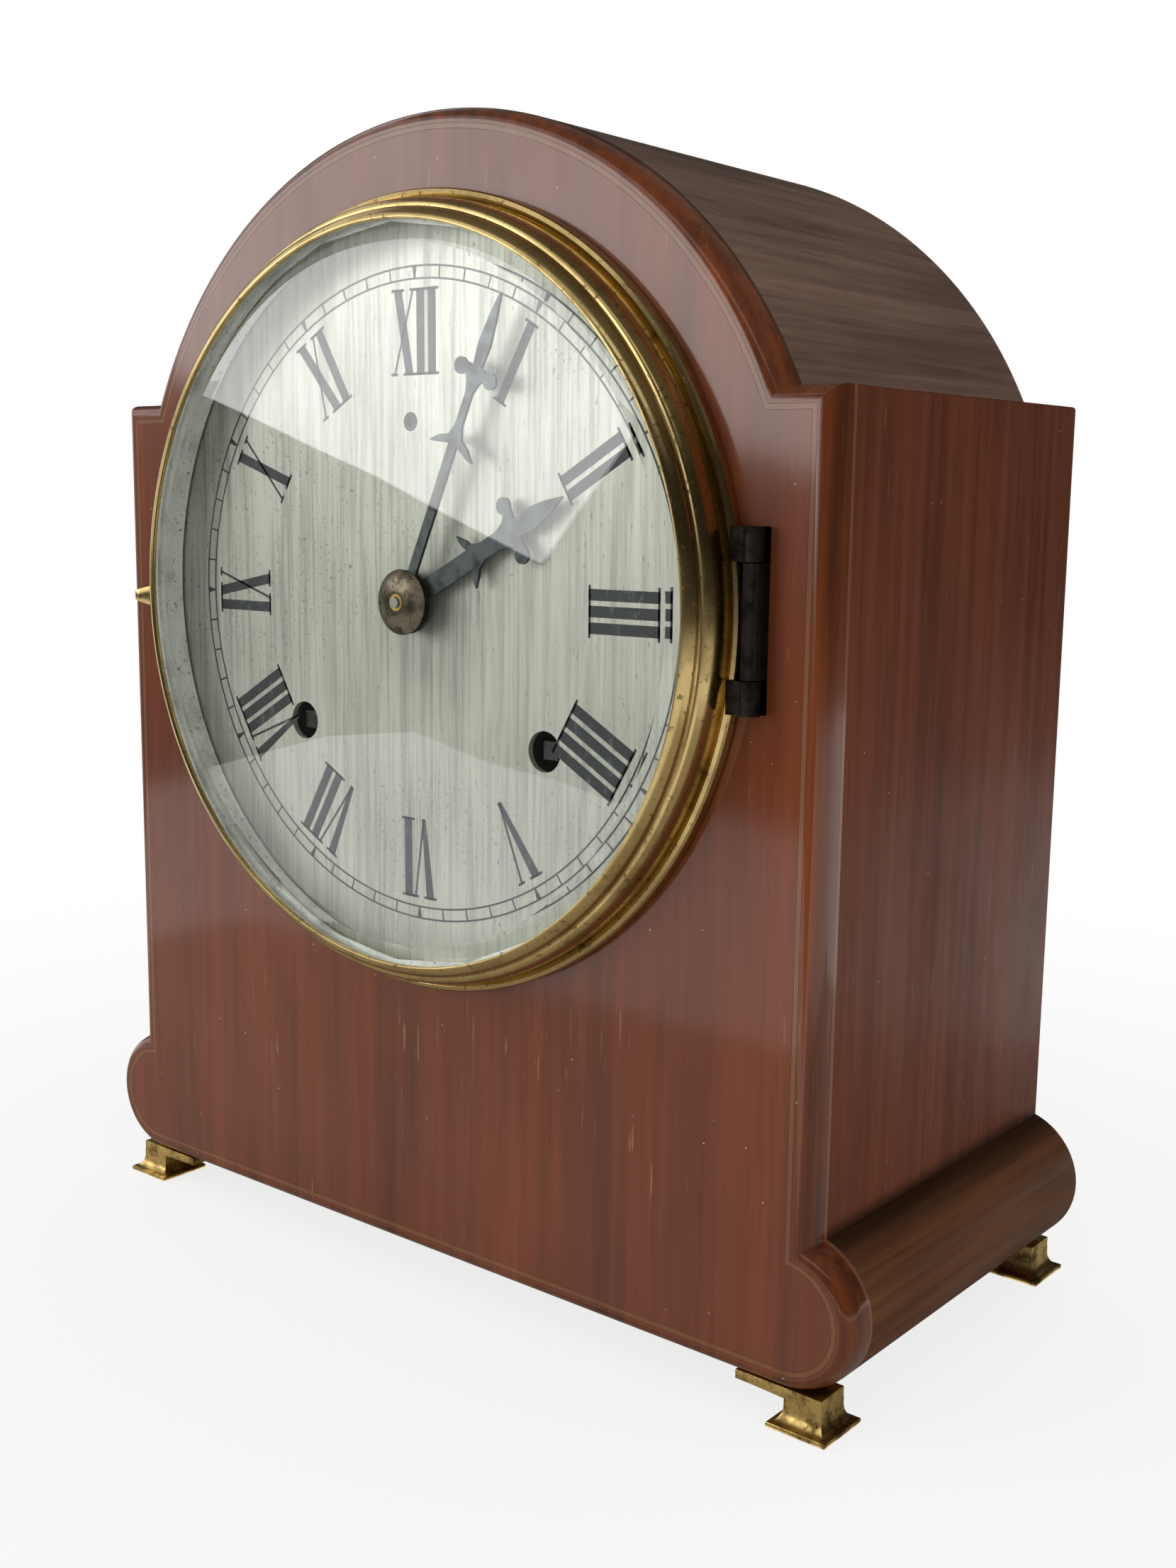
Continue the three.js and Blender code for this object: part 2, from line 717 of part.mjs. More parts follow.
// Half of a hand's outline as [across, along] points from the hub to the tip.
function handOutline(halfOutline, hubRadius) {
  const start = Math.asin(halfOutline[0][0] / hubRadius);
  const hub = arc(0, 0, hubRadius, Math.PI / 2 + start, Math.PI * 2.5 - start, 14);
  const left = halfOutline.map(([x, z]) => [-x, z]).reverse();
  return [...hub, ...halfOutline, ...left].filter((p, i, all) => {
    const q = all[(i + 1) % all.length];
    return Math.hypot(p[0] - q[0], p[1] - q[1]) > 1e-3;
  });
}

// Lance hand: straight stem, barbs that point back, a waist, two balls and a leaf-shaped tip.
function lanceHand(form, boreRadius, front, bearing) {
  const ball = arc(form.ballX, form.ballZ, form.ball, -Math.PI * 0.86, Math.PI * 0.72, 8);
  const outline = handOutline([
    [form.stem, Math.sqrt(form.hub ** 2 - form.stem ** 2)],
    [form.stem, form.barbZ - 0.2], [form.stem + 1.2, form.barbZ - 0.9],
    [form.barbX * 0.8, form.barbTip + 0.1], [form.barbX, form.barbTip],
    [form.barbX * 0.66, form.barbTip + 2.2], [form.waist + 1.1, form.barbZ + 1.4],
    [form.waist, form.barbZ + 4.2], [form.waist, form.ballZ - 4.6], [form.waist + 0.9, form.ballZ - 1.9],
    ...ball, [form.blade * 0.72, form.ballZ + 1.6],
    [form.blade, form.ballZ + (form.tip - form.ballZ) * 0.34],
    [form.blade * 0.62, form.ballZ + (form.tip - form.ballZ) * 0.7], [0.12, form.tip],
  ], form.hub);
  const turn = THREE.MathUtils.degToRad(bearing);
  return extrudeY(outline, front, front + handThickness, [circle(boreRadius, 16)]).rotateY(turn);
}

const minuteForm = {
  hub: 6.2, stem: 1.25, barbZ: 39.6, barbX: 7, barbTip: 37.6, waist: 1,
  ballX: 4.7, ballZ: 56, ball: 1.95, blade: 1.75, tip: dialRadius - ringMargin - 1.6,
};
const hourForm = {
  hub: 7.4, stem: 2.3, barbZ: 22.4, barbX: 6.5, barbTip: 20.9, waist: 2,
  ballX: 6, ballZ: 36.6, ball: 2, blade: 2.6, tip: 52.6,
};

function handCollet() {
  const back = minuteHandFront - glueLine;
  const bore = cannonRadius + bushGap;
  const front = back - colletHeight;
  return turned([
    [bore, back], [colletRadius, back], [colletRadius, back - 0.35], [colletRadius * 0.86, back - 0.95],
    [colletRadius * 0.62, back - 1.5], [colletRadius * 0.4, front], [bore, front], [bore, back],
  ], 16);
}

// ---- Movement ----

function platePoints() {
  const c = plateCorner;
  const points = [];
  for (const [sx, sz, from] of [[1, 0, 270], [1, 1, 0], [-1, 1, 90], [-1, 0, 180]]) {
    const x = sx * (plateHalfWidth - c);
    const z = sz ? plateTop - c : plateBottom + c;
    const start = THREE.MathUtils.degToRad(from);
    points.push(...arc(x, z, c, start, start + Math.PI / 2, 3));
  }
  return points;
}

const pillarPlaces = [[-1, 1], [1, 1], [-1, -1], [1, -1]].map(([sx, sz]) => [
  sx * (plateHalfWidth - pillarInset), sz > 0 ? plateTop - pillarInset : plateBottom + pillarInset,
]);

// Pivot holes that both plates share.
function plateHoles() {
  const arbors = [centrePlace, intermediatePlace, thirdPlace, escapePlace, palletPlace, pinWheelPlace,
    flyPlace, hammerArbor, [regulatorX, regulatorZ]];
  return [
    ...arbors.map(([x, z]) => circle(trainArborRadius + runningGap, 8, x, z)),
    ...[goingBarrel, strikeBarrel].map(([x, z]) => circle(barrelArborRadius + runningGap, 14, x, z)),
  ];
}

function frontPlate() {
  const plate = extrudeY(platePoints(), frontPlateFront, frontPlateBack, plateHoles());
  const stud = rod(arborRadius, hourWheelFront() - 1, frontPlateBack - 0.5, 10, ...minuteArbor);
  return join(plate, stud);
}

function backPlate() {
  const plate = extrudeY(platePoints(), backPlateFront, backPlateBack, plateHoles());
  const collar = 1.4;
  const pillars = pillarPlaces.map(([x, z]) => turned([
    [0, frontPlateBack], [pillarRadius, frontPlateBack], [pillarRadius - collar, frontPlateBack + 4],
    [pillarRadius - collar, backPlateFront - 4], [pillarRadius, backPlateFront],
    [pillarRadius, backPlateBack - 0.5], [0, backPlateBack - 0.5],
  ], 8, x, z));
  return join(plate, ...pillars);
}

// Steel strap that ties the front plate to the back of the front board.
function movementStrap(z0) {
  const pad = boardThickness;
  const bar = frontPlateFront - strapThickness;
  const right = [
    [strapReach, pad], [strapReach, pad + strapThickness], [strapReach - strapPad + strapThickness, pad + strapThickness],
    [strapReach - strapPad + strapThickness, frontPlateFront],
  ];
  const inner = [[strapReach - strapPad, bar], [strapReach - strapPad, pad]];
  const mirror = (list) => list.map(([x, y]) => [-x, y]).reverse();
  return extrudeZ([...right, ...mirror(right), ...mirror(inner), ...inner], z0, z0 + strapHeight);
}

function hourWheelFront() {
  return frontPlateFront - 6.2;
}

function cannonPinion() {
  const back = frontPlateFront - pieceGap;
  const front = back - 2.6;
  const reach = THREE.MathUtils.degToRad(minuteWheelBearing);
  const teeth = extrudeY(toothed(cannonTeeth, motionModule, reach), front, back);
  const pipe = rod(cannonRadius, arborTipFront + 0.6, back - 0.5, 12);
  return cut(join(teeth, pipe), rod(arborRadius + bushGap, arborTipFront - 1, back + 1, 12));
}

function centreArbor() {
  return rod(arborRadius, arborTipFront, backPlateBack, 10);
}

// Centre wheel and pinion, pressed on the centre arbor.
function centreWheel() {
  const bore = rod(arborRadius + bushGap, centreWheelFront - 2, backPlateFront, 10);
  const wheel = extrudeY(toothed(centreTeeth, centreModule, 0), centreWheelFront,
    centreWheelFront + trainWheelThickness,
    crossings(4, trainHubRadius, centreModule * (centreTeeth / 2 - toothRoot) - 1.8, centrePlace));
  const leaves = extrudeY(toothed(centrePinionTeeth, intermediateModule, 0),
    centreWheelFront, backPlateFront - contactGap * 4);
  return cut(join(wheel, leaves), bore);
}

function minuteWheel() {
  const [x, z] = minuteArbor;
  const back = frontPlateFront - pieceGap - 0.4;
  const front = back - wheelThickness;
  const reach = THREE.MathUtils.degToRad(minuteWheelBearing);
  const wheel = extrudeY(toothed(minuteWheelTeeth, motionModule,
    meshPhase(reach, cannonTeeth, minuteWheelTeeth, reach), minuteArbor), front, back);
  const pinion = extrudeY(toothed(minutePinionTeeth, hourModule, reach + Math.PI, minuteArbor),
    hourWheelFront() - 0.4, front + 0.5);
  return cut(join(wheel, pinion), rod(arborRadius + runningGap, hourWheelFront() - 2, back + 1, 12, x, z));
}

function hourWheel() {
  const front = hourWheelFront();
  const back = THREE.MathUtils.degToRad(minuteWheelBearing) + Math.PI;
  const phase = meshPhase(back, minutePinionTeeth, hourWheelTeeth, back);
  const rim = hourModule * (hourWheelTeeth / 2 - toothRoot) - 2;
  const wheel = extrudeY(toothed(hourWheelTeeth, hourModule, phase), front, front + wheelThickness,
    crossings(4, hourPipeRadius + 1.6, rim, [0, 0]));
  const pipe = rod(hourPipeRadius, hourHandFront - 0.15, front + 0.5, 14);
  return cut(join(wheel, pipe), rod(cannonRadius + runningGap, hourHandFront - 1, front + 3, 14));
}

function barrel([x, z], phase) {
  const wheel = extrudeY(toothed(greatWheelTeeth, greatModule, phase, [x, z]),
    barrelFront, barrelFront + greatWheelThickness);
  const drum = rod(barrelRadius, barrelFront + greatWheelThickness / 2,
    barrelFront + greatWheelThickness + barrelLength, 18, x, z);
  return cut(join(wheel, drum), rod(barrelArborRadius + runningGap, barrelFront - 1,
    barrelFront + barrelLength + 10, 12, x, z));
}

// Wheel and pinion on an arbor that runs in both plates.
function trainWheel(place, wheel, pinion) {
  const windows = wheel.spokes
    ? crossings(wheel.spokes, trainHubRadius, wheel.module * (wheel.teeth / 2 - toothRoot) - 1.8, place)
    : [];
  const arbor = rod(trainArborRadius, frontPlateFront, backPlateBack, 8, ...place);
  const rim = extrudeY(toothed(wheel.teeth, wheel.module, wheel.phase, place),
    wheel.front, wheel.front + trainWheelThickness, windows);
  const leaves = extrudeY(toothed(pinion.teeth, pinion.module, pinion.phase, place),
    pinion.front, pinion.front + pinion.length);
  return join(arbor, rim, leaves);
}

function intermediateWheel() {
  const reach = bearingOf(centrePlace, intermediatePlace);
  return trainWheel(intermediatePlace, {
    teeth: intermediateTeeth, module: intermediateModule, front: intermediateFront, spokes: 4,
    phase: meshPhase(0, centrePinionTeeth, intermediateTeeth, reach),
  }, {
    teeth: barrelPinionTeeth, module: greatModule, phase: 0,
    front: barrelFront - 0.6, length: greatWheelThickness + 1.2,
  });
}

function thirdWheel() {
  return trainWheel(thirdPlace, {
    teeth: thirdTeeth, module: thirdModule, phase: 0, front: thirdWheelFront, spokes: 4,
  }, {
    teeth: thirdPinionTeeth, module: centreModule, front: centreWheelFront - 0.8,
    length: trainWheelThickness + 1.6,
    phase: meshPhase(0, centreTeeth, thirdPinionTeeth, bearingOf(centrePlace, thirdPlace)),
  });
}

// Escape wheel: thin hooked teeth that lean forward, with a pinion on the same arbor.
function escapeWheel() {
  const [x, z] = escapePlace;
  const step = 360 / escapeTeeth;
  const points = [];
  for (let i = 0; i < escapeTeeth; i += 1) {
    const root = offset(escapePlace, escapeRadius - escapeToothDepth, i * step - step * 0.42);
    const foot = offset(escapePlace, escapeRadius - escapeToothDepth, i * step - step * 0.05);
    const tip = offset(escapePlace, escapeRadius, i * step + step * 0.1);
    points.push(root, foot, tip);
  }
  const rim = extrudeY(points.reverse(), escapeWheelFront, escapeWheelFront + trainWheelThickness,
    crossings(4, trainHubRadius * 0.55, escapeRadius - escapeToothDepth - 1.6, escapePlace));
  const pinion = extrudeY(toothed(escapePinionTeeth, thirdModule,
    meshPhase(0, thirdTeeth, escapePinionTeeth, bearingOf(thirdPlace, escapePlace)), escapePlace),
  thirdWheelFront - 0.8, thirdWheelFront + trainWheelThickness + 0.8);
  return join(rod(trainArborRadius, frontPlateFront, backPlateBack, 8, x, z), rim, pinion);
}

// Recoil pallets astride the escape wheel, their arbor, and the crutch behind the back plate.
function pallets() {
  const [x, z] = palletPlace;
  const clear = escapeRadius + palletDrop;
  const reach = THREE.MathUtils.degToRad(palletSpread);
  const nib = [clear * Math.sin(reach), escapeAboveCentre + clear * Math.cos(reach)];
  const outer = [
    [2.6, z + 2.2], [nib[0] + 1.2, nib[1] + 3.6], [nib[0] + 2.4, nib[1] + 0.6], [nib[0] + 0.5, nib[1] - 0.5],
    nib, [nib[0] - 0.7, nib[1] + 1.3], [nib[0] - 1.6, nib[1] + 3.4], [2, z - 2.2],
  ];
  const inner = outer.map(([px, pz]) => [-px, pz]).reverse();
  const body = extrudeY([...outer, ...inner].reverse(), escapeWheelFront - 0.4,
    escapeWheelFront + trainWheelThickness + 0.4);
  const forkY = pendulumY + rodRadius;
  const arbor = rod(trainArborRadius, frontPlateFront, backPlateBack + 3, 8, x, z);
  const bottom = pendulumPivotZ - crutchBelowPivot;
  const strip = box(-1.3, 1.3, backPlateBack + 1.2, backPlateBack + 2.4, bottom - 2, z + 2.4);
  const gap = rodRadius + crutchGap;
  const prongs = [-1, 1].map((side) => box(
    Math.min(side * gap, side * (gap + 1)), Math.max(side * gap, side * (gap + 1)),
    backPlateBack + 1.6, forkY, bottom - 2, bottom + 2));
  const bridge = box(-gap - 1, gap + 1, backPlateBack + 1.2, backPlateBack + 2.4, bottom - 2, bottom + 2);
  return join(body, arbor, strip, bridge, ...prongs);
}

function goingBarrelPhase() {
  return meshPhase(0, barrelPinionTeeth, greatWheelTeeth, bearingOf(intermediatePlace, goingBarrel));
}

function strikeBarrelPhase() {
  return meshPhase(0, barrelPinionTeeth, greatWheelTeeth, bearingOf(pinWheelPlace, strikeBarrel));
}

// Strike wheel whose pins lift the hammer.
function pinWheel() {
  const back = intermediateFront + trainWheelThickness;
  const wheel = trainWheel(pinWheelPlace, {
    teeth: pinWheelTeeth, module: pinWheelModule, phase: 0, front: intermediateFront, spokes: 0,
  }, {
    teeth: barrelPinionTeeth, module: greatModule, phase: 0,
    front: barrelFront - 0.6, length: greatWheelThickness + 1.2,
  });
  const pins = [];
  for (let i = 0; i < strikePins; i += 1) {
    pins.push(rod(strikePinRadius, back - 0.5, back + 2.6, 6,
      ...offset(pinWheelPlace, strikePinCircle, 360 * i / strikePins)));
  }
  return join(wheel, ...pins);
}

// Two-bladed air brake of the strike train.
function fly() {
  const [x, z] = flyPlace;
  const arbor = rod(trainArborRadius, frontPlateFront, backPlateBack, 8, x, z);
  const blade = box(x - flyReach, x + flyReach, flyFront, flyFront + flyLength, z - 0.4, z + 0.4);
  const pinion = extrudeY(toothed(flyPinionTeeth, pinWheelModule,
    meshPhase(0, pinWheelTeeth, flyPinionTeeth, bearingOf(pinWheelPlace, flyPlace)), flyPlace),
  intermediateFront - 0.8, intermediateFront + trainWheelThickness + 0.8);
  return join(arbor, blade, pinion);
}

// Hammer: arbor with a tail near the lifting pins, a bent wire behind the back plate, and the head.
function hammer() {
  const [x, z] = hammerArbor;
  const gongLeft = gongCentreX - gongInnerRadius - gongPitch * (gongTurns - 0.25) - gongWire / 2;
  const headX = gongLeft - hammerGap - hammerHeadLength / 2;
  const wireY = backPlateBack + 4;
  const path = new THREE.CatmullRomCurve3([
    new THREE.Vector3(x, wireY - 2, z), new THREE.Vector3(x - 1, wireY, z - 6),
    new THREE.Vector3((x + headX) / 2, (wireY + gongY) / 2, (z + gongCentreZ) / 2),
    new THREE.Vector3(headX, gongY, gongCentreZ + 8), new THREE.Vector3(headX, gongY, gongCentreZ),
  ]);
  const section = new THREE.Shape(circle(1, 6).map(([a, b]) => new THREE.Vector2(a, b)));
  const wire = new THREE.ExtrudeGeometry(section, { steps: 11, extrudePath: path, bevelEnabled: false });
  const head = new THREE.LatheGeometry([
    [0, -hammerHeadLength / 2], [hammerHeadRadius, -hammerHeadLength / 2],
    [hammerHeadRadius, hammerHeadLength / 2 - 1.5], [0, hammerHeadLength / 2],
  ].map(([r, h]) => new THREE.Vector2(r, h)), 12).rotateZ(-Math.PI / 2).translate(headX, gongY, gongCentreZ);
  const tailY = intermediateFront + trainWheelThickness + 0.8;
  const toPins = bearingOf(hammerArbor, pinWheelPlace);
  const tail = box(-0.9, 0.9, tailY, tailY + 1.5, 0, hammerTail).rotateY(toPins).translate(x, 0, z);
  const arbor = rod(trainArborRadius, frontPlateFront, wireY - 0.5, 8, x, z);
  return join(arbor, tail, wire, head);
}

// Barrel arbor with its winding square and ratchet wheel.
function windingArbor(side) {
  const x = side * windingX;
  const square = box(x - windingSquare / 2, x + windingSquare / 2, squareSetback, frontPlateFront - 6,
    windingZ - windingSquare / 2, windingZ + windingSquare / 2);
  const arbor = rod(barrelArborRadius, frontPlateFront - 7, backPlateBack + 1.5, 12, x, windingZ);
  const points = [];
  for (let i = 0; i < ratchetTeeth; i += 1) {
    const [x0, z0] = polar(ratchetRadius, side * i * 360 / ratchetTeeth);
    const [x1, z1] = polar(ratchetRadius * 0.84, side * (i * 360 / ratchetTeeth + 2));
    points.push([x + x0, windingZ + z0], [x + x1, windingZ + z1]);
  }
  const ratchet = extrudeY(points, frontPlateFront - pieceGap - 2, frontPlateFront - pieceGap);
  return join(arbor, square, ratchet);
}

function regulatorArbor() {
  return rod(arborRadius, dialFront + 0.6, backPlateBack + 3, 12, regulatorX, regulatorZ);
}

// Cock on the back plate that the pendulum hangs from.
function suspensionCock() {
  const y0 = backPlateBack;
  const outline = [
    [-cockWidth / 2, y0], [cockWidth / 2, y0], [cockWidth / 2, y0 + 2.5], [3.5, y0 + 2.5],
    [3.5, y0 + cockReach], [-3.5, y0 + cockReach], [-3.5, y0 + 2.5], [-cockWidth / 2, y0 + 2.5],
  ];
  const body = extrudeZ(outline, pendulumPivotZ + 2, cockTop);
  return body;
}

// Pendulum with its suspension spring, in one piece with the rod.
function pendulumRod() {
  const top = pendulumPivotZ + 2 - contactGap;
  const spring = box(-2.5, 2.5, pendulumY - 0.3, pendulumY + 0.3, top - 12, top);
  const block = box(-3.5, 3.5, pendulumY - 1.6, pendulumY + 1.6, top - 16, top - 11);
  const rodPart = upright(rodRadius, bobCentreZ - bobRadius - 6, top - 14, 10, 0, pendulumY);
  return join(spring, block, rodPart);
}

function pendulumBob() {
  const y = bobThickness / 2;
  const lens = turned([
    [0, -y], [bobRadius * 0.5, -y * 0.82], [bobRadius * 0.84, -y * 0.45], [bobRadius, -0.6],
    [bobRadius, 0.6], [bobRadius * 0.84, y * 0.45], [bobRadius * 0.5, y * 0.82], [0, y],
  ], 16).translate(0, pendulumY, bobCentreZ);
  const hole = upright(rodRadius + bushGap, bobCentreZ - bobRadius - 2, bobCentreZ + bobRadius + 2,
    10, 0, pendulumY);
  return cut(lens, hole);
}

function pendulumNut() {
  const z = bobCentreZ - bobRadius - glueLine;
  const nut = upright(3.4, z - 3, z, 12, 0, pendulumY);
  return cut(nut, upright(rodRadius + bushGap, z - 4, z + 1, 10, 0, pendulumY));
}

// Spiral gong of square wire, one unbroken bar from its block outwards.
function gongCoil() {
  const steps = gongTurns * gongSteps;
  const rings = [];
  for (let i = 0; i <= steps; i += 1) {
    const turn = i / gongSteps;
    const a = Math.PI * 2 * turn - Math.PI / 2;
    const r = gongInnerRadius + gongPitch * turn;
    rings.push([new THREE.Vector3(Math.cos(a), 0, Math.sin(a)), r]);
  }
  const positions = [];
  const index = [];
  const w = gongWire / 2;
  for (const [dir, r] of rings) {
    for (const [dr, dy] of [[-w, -w], [w, -w], [w, w], [-w, w]]) {
      positions.push(gongCentreX + dir.x * (r + dr), gongY + dy, gongCentreZ + dir.z * (r + dr));
    }
  }
  for (let k = 0; k < steps; k += 1) {
    for (let i = 0; i < 4; i += 1) {
      const [a, b] = [k * 4 + i, k * 4 + (i + 1) % 4];
      index.push(a, b, b + 4, a, b + 4, a + 4);
    }
  }
  const last = steps * 4;
  index.push(0, 2, 1, 0, 3, 2, last, last + 1, last + 2, last, last + 2, last + 3);
  const geometry = new THREE.BufferGeometry();
  geometry.setAttribute('position', new THREE.Float32BufferAttribute(positions, 3));
  geometry.setIndex(index);
  console.log(`gong turns clear each other by ${(gongPitch - gongWire).toFixed(2)} mm`);
  return geometry;
}

// Block on the base, with a post that holds the inner end of the gong.
function gongStand() {
  const x = gongCentreX;
  const back = gongY - gongWire / 2 - contactGap;
  const top = gongCentreZ - gongInnerRadius + gongWire;
  const block = box(x - standWidth, x + standWidth, back - standWidth * 1.2, back, baseTop, baseTop + standHeight);
  const post = box(x - standWidth / 3, x + standWidth / 3, back - standWidth * 0.7, back, baseTop + standHeight / 2, top);
  return join(block, post);
}

// ---- Back door ----

function backDoor() {
  const panel = extrudeY(doorOutline(doorGap), backFace - doorThickness, backFace);
  const leaves = [doorHingeUpperZ, doorHingeLowerZ].map((z) => box(
    doorHalfWidth - doorHingeLeaf - glueLine, doorHalfWidth + 1,
    backFace - doorHingeLeafThickness - glueLine, backFace + 1,
    z - doorHingeLength / 2 - glueLine, z + doorHingeLength / 2 + glueLine));
  return cut(panel, ...leaves);
}

const hingeSides = 8;
const doorAxisX = doorHalfWidth - doorGap / 2;
const doorAxisY = backFace + doorHingeRadius * 0.6;

// Brass leaf of a butt hinge. The case leaf has the middle knuckle, the door leaf the two ends.
function hingeLeaf(middleZ, onDoor) {
  const length = doorHingeLength;
  const z0 = middleZ - length / 2;
  const third = length / 3;
  const x0 = onDoor ? doorHalfWidth - doorHingeLeaf : doorAxisX + contactGap;
  const x1 = onDoor ? doorAxisX - contactGap : doorHalfWidth + doorHingeLeaf;
  const plate = box(x0, x1, backFace - doorHingeLeafThickness, backFace, z0, z0 + length);
  const spans = onDoor ? [[0, third], [third * 2, length]] : [[third + contactGap, third * 2 - contactGap]];
  const knuckles = spans.map(([a, b]) =>
    upright(doorHingeRadius, z0 + a, z0 + b, hingeSides, doorAxisX, doorAxisY));
  const bore = upright(doorHingePinRadius + contactGap, z0 - 1, z0 + length + 1, hingeSides, doorAxisX, doorAxisY);
  const notchSpans = onDoor ? [[third, third * 2]] : [[-1, third], [third * 2, length + 1]];
  const notches = notchSpans.map(([a, b]) => upright(doorHingeRadius + contactGap, z0 + a, z0 + b, hingeSides,
    doorAxisX, doorAxisY));
  return cut(join(plate, ...knuckles), bore, ...notches);
}

function doorHingePin(middleZ) {
  return upright(doorHingePinRadius, middleZ - doorHingeLength / 2 + 0.2,
    middleZ + doorHingeLength / 2 - 0.2, hingeSides, doorAxisX, doorAxisY);
}

function doorKnob() {
  const y = backFace;
  const x = -(doorHalfWidth - doorKnobInset);
  const z = doorSpringAboveDial - doorKnobDrop;
  return turned([
    [0, y], [doorKnobRadius * 0.8, y], [doorKnobRadius * 0.8, y + 0.8], [doorKnobRadius * 0.45, y + 1.4],
    [doorKnobRadius * 0.5, y + 2], [doorKnobRadius, y + doorKnobLength * 0.7],
    [doorKnobRadius * 0.7, y + doorKnobLength], [0, y + doorKnobLength],
  ], 12, x, z);
}

// ---- Assembly ----

const clock = new THREE.Group();
const backFootY = caseDepth - backFootSetback;
const rear = Math.max(backFootY + footBase / 2, doorAxisY + doorHingeRadius, backFace + doorKnobLength);
clock.position.set(0, -(bezelFront + rear) / 2, dialAboveCaseBottom + footHeight);

function add(name, geometry, look) {
  const mesh = new THREE.Mesh(toCreasedNormals(closed(geometry), Math.PI / 5),
    new THREE.MeshStandardMaterial(look));
  mesh.name = name;
  clock.add(mesh);
}

add('front_board', frontBoard(), mahoganyFront);
add('front_stringing', frontStringing(), boxwood);
add('edge_stringing', edgeStringing(), boxwood);
for (const [word, side] of [['left', -1], ['right', 1]]) {
  add(`base_moulding_${word}`, baseMoulding(side), mahoganySide);
  add(`side_panel_${word}`, sidePanel(side), mahoganySide);
  add(`shoulder_rail_${word}`, shoulderRail(side), innerWood);
  add(`foot_front_${word}`, foot(side, frontFootSetback), oldBrass);
  add(`foot_back_${word}`, foot(side, backFootY), oldBrass);
}
add('base_board', box(-mouldingInner, mouldingInner, boardThickness, caseDepth, bottomZ, baseTop), innerWood);
add('roof_shell', roofShell(), mahoganyDark);
add('back_board', backBoard(), mahoganyDark);

add('back_door', backDoor(), mahoganyDark);
add('door_knob', doorKnob(), brightBrass);
for (const [word, z] of [['upper', doorHingeUpperZ], ['lower', doorHingeLowerZ]]) {
  add(`door_hinge_case_leaf_${word}`, hingeLeaf(z, false), oldBrass);
  add(`door_hinge_door_leaf_${word}`, hingeLeaf(z, true), oldBrass);
  add(`door_hinge_pin_${word}`, doorHingePin(z), steel);
}

add('bezel_ring', bezelRing(), oldBrass);
const glassMesh = { ...glassLook, transparent: true, opacity: 0.25 };
add('bezel_glass', bezelGlass(), glassMesh);
add('glass_retainer', glassRetainer(), oldBrass);
add('bezel_hinge_plate', bezelHingePlate(), darkSteel);
add('bezel_hinge_pin', bezelHingePin(), steel);

add('dial_plate', dialPlate(), silvered);
add('minute_hand', lanceHand(minuteForm, cannonRadius + bushGap, minuteHandFront, minuteHandAngle), darkSteel);
add('hour_hand', lanceHand(hourForm, hourPipeRadius + bushGap, hourHandFront, hourHandAngle), darkSteel);
add('hand_collet', handCollet(), darkSteel);

add('front_plate', frontPlate(), brightBrass);
add('back_plate', backPlate(), brightBrass);
add('movement_strap_upper', movementStrap(plateTop - strapHeight), steel);
add('movement_strap_lower', movementStrap(plateBottom), steel);
add('centre_arbor', centreArbor(), steel);
add('cannon_pinion', cannonPinion(), brightBrass);
add('minute_wheel', minuteWheel(), brightBrass);
add('hour_wheel', hourWheel(), brightBrass);
add('centre_wheel', centreWheel(), brightBrass);
add('intermediate_wheel', intermediateWheel(), brightBrass);
add('third_wheel', thirdWheel(), brightBrass);
add('escape_wheel', escapeWheel(), brightBrass);
add('pallets', pallets(), steel);
add('going_barrel', barrel(goingBarrel, goingBarrelPhase()), brightBrass);
add('strike_barrel', barrel(strikeBarrel, strikeBarrelPhase()), brightBrass);
add('pin_wheel', pinWheel(), brightBrass);
add('fly', fly(), brightBrass);
add('hammer', hammer(), steel);
add('going_winding_arbor', windingArbor(1), steel);
add('strike_winding_arbor', windingArbor(-1), steel);
add('regulator_arbor', regulatorArbor(), steel);
add('suspension_cock', suspensionCock(), brightBrass);
add('pendulum_rod', pendulumRod(), steel);
add('pendulum_bob', pendulumBob(), brightBrass);
add('pendulum_nut', pendulumNut(), brightBrass);
add('gong', gongCoil(), darkSteel);
add('gong_stand', gongStand(), darkSteel);

export default clock;
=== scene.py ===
import math

import bmesh
import bpy
from mathutils import Matrix, Vector


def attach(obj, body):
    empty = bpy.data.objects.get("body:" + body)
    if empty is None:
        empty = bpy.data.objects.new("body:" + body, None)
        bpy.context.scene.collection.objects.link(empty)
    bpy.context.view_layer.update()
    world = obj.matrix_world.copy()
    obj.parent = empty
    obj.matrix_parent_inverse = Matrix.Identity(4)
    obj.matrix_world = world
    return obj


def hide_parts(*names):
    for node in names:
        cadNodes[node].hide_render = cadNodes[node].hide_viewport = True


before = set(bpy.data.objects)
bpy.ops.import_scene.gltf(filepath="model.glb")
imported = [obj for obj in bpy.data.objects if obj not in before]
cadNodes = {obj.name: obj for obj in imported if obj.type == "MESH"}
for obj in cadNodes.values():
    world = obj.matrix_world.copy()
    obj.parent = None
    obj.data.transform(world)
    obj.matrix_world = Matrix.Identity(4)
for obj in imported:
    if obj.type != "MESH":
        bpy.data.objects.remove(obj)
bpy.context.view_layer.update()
print("frame loaded:", len(cadNodes), "nodes")

# Everything is placed from the middle of the dial on the face of the front board, in millimetres:
# x to the right, y to the back, z up.
dialCentre = Vector((0, -0.0509, 0.171))
yAxis = (0, 1, 0)


def at(x, y, z):
    return dialCentre + Vector((x, y, z)) * 0.001


# The place is in millimetres from the middle of the dial, the turns are in degrees.
camera = {"place": (292.19, -296.08, 25.89), "yaw": 39.136, "pitch": 9.449, "roll": 0.727,
          "lens": 53.807, "sensor": 36, "nearest": 0.01}


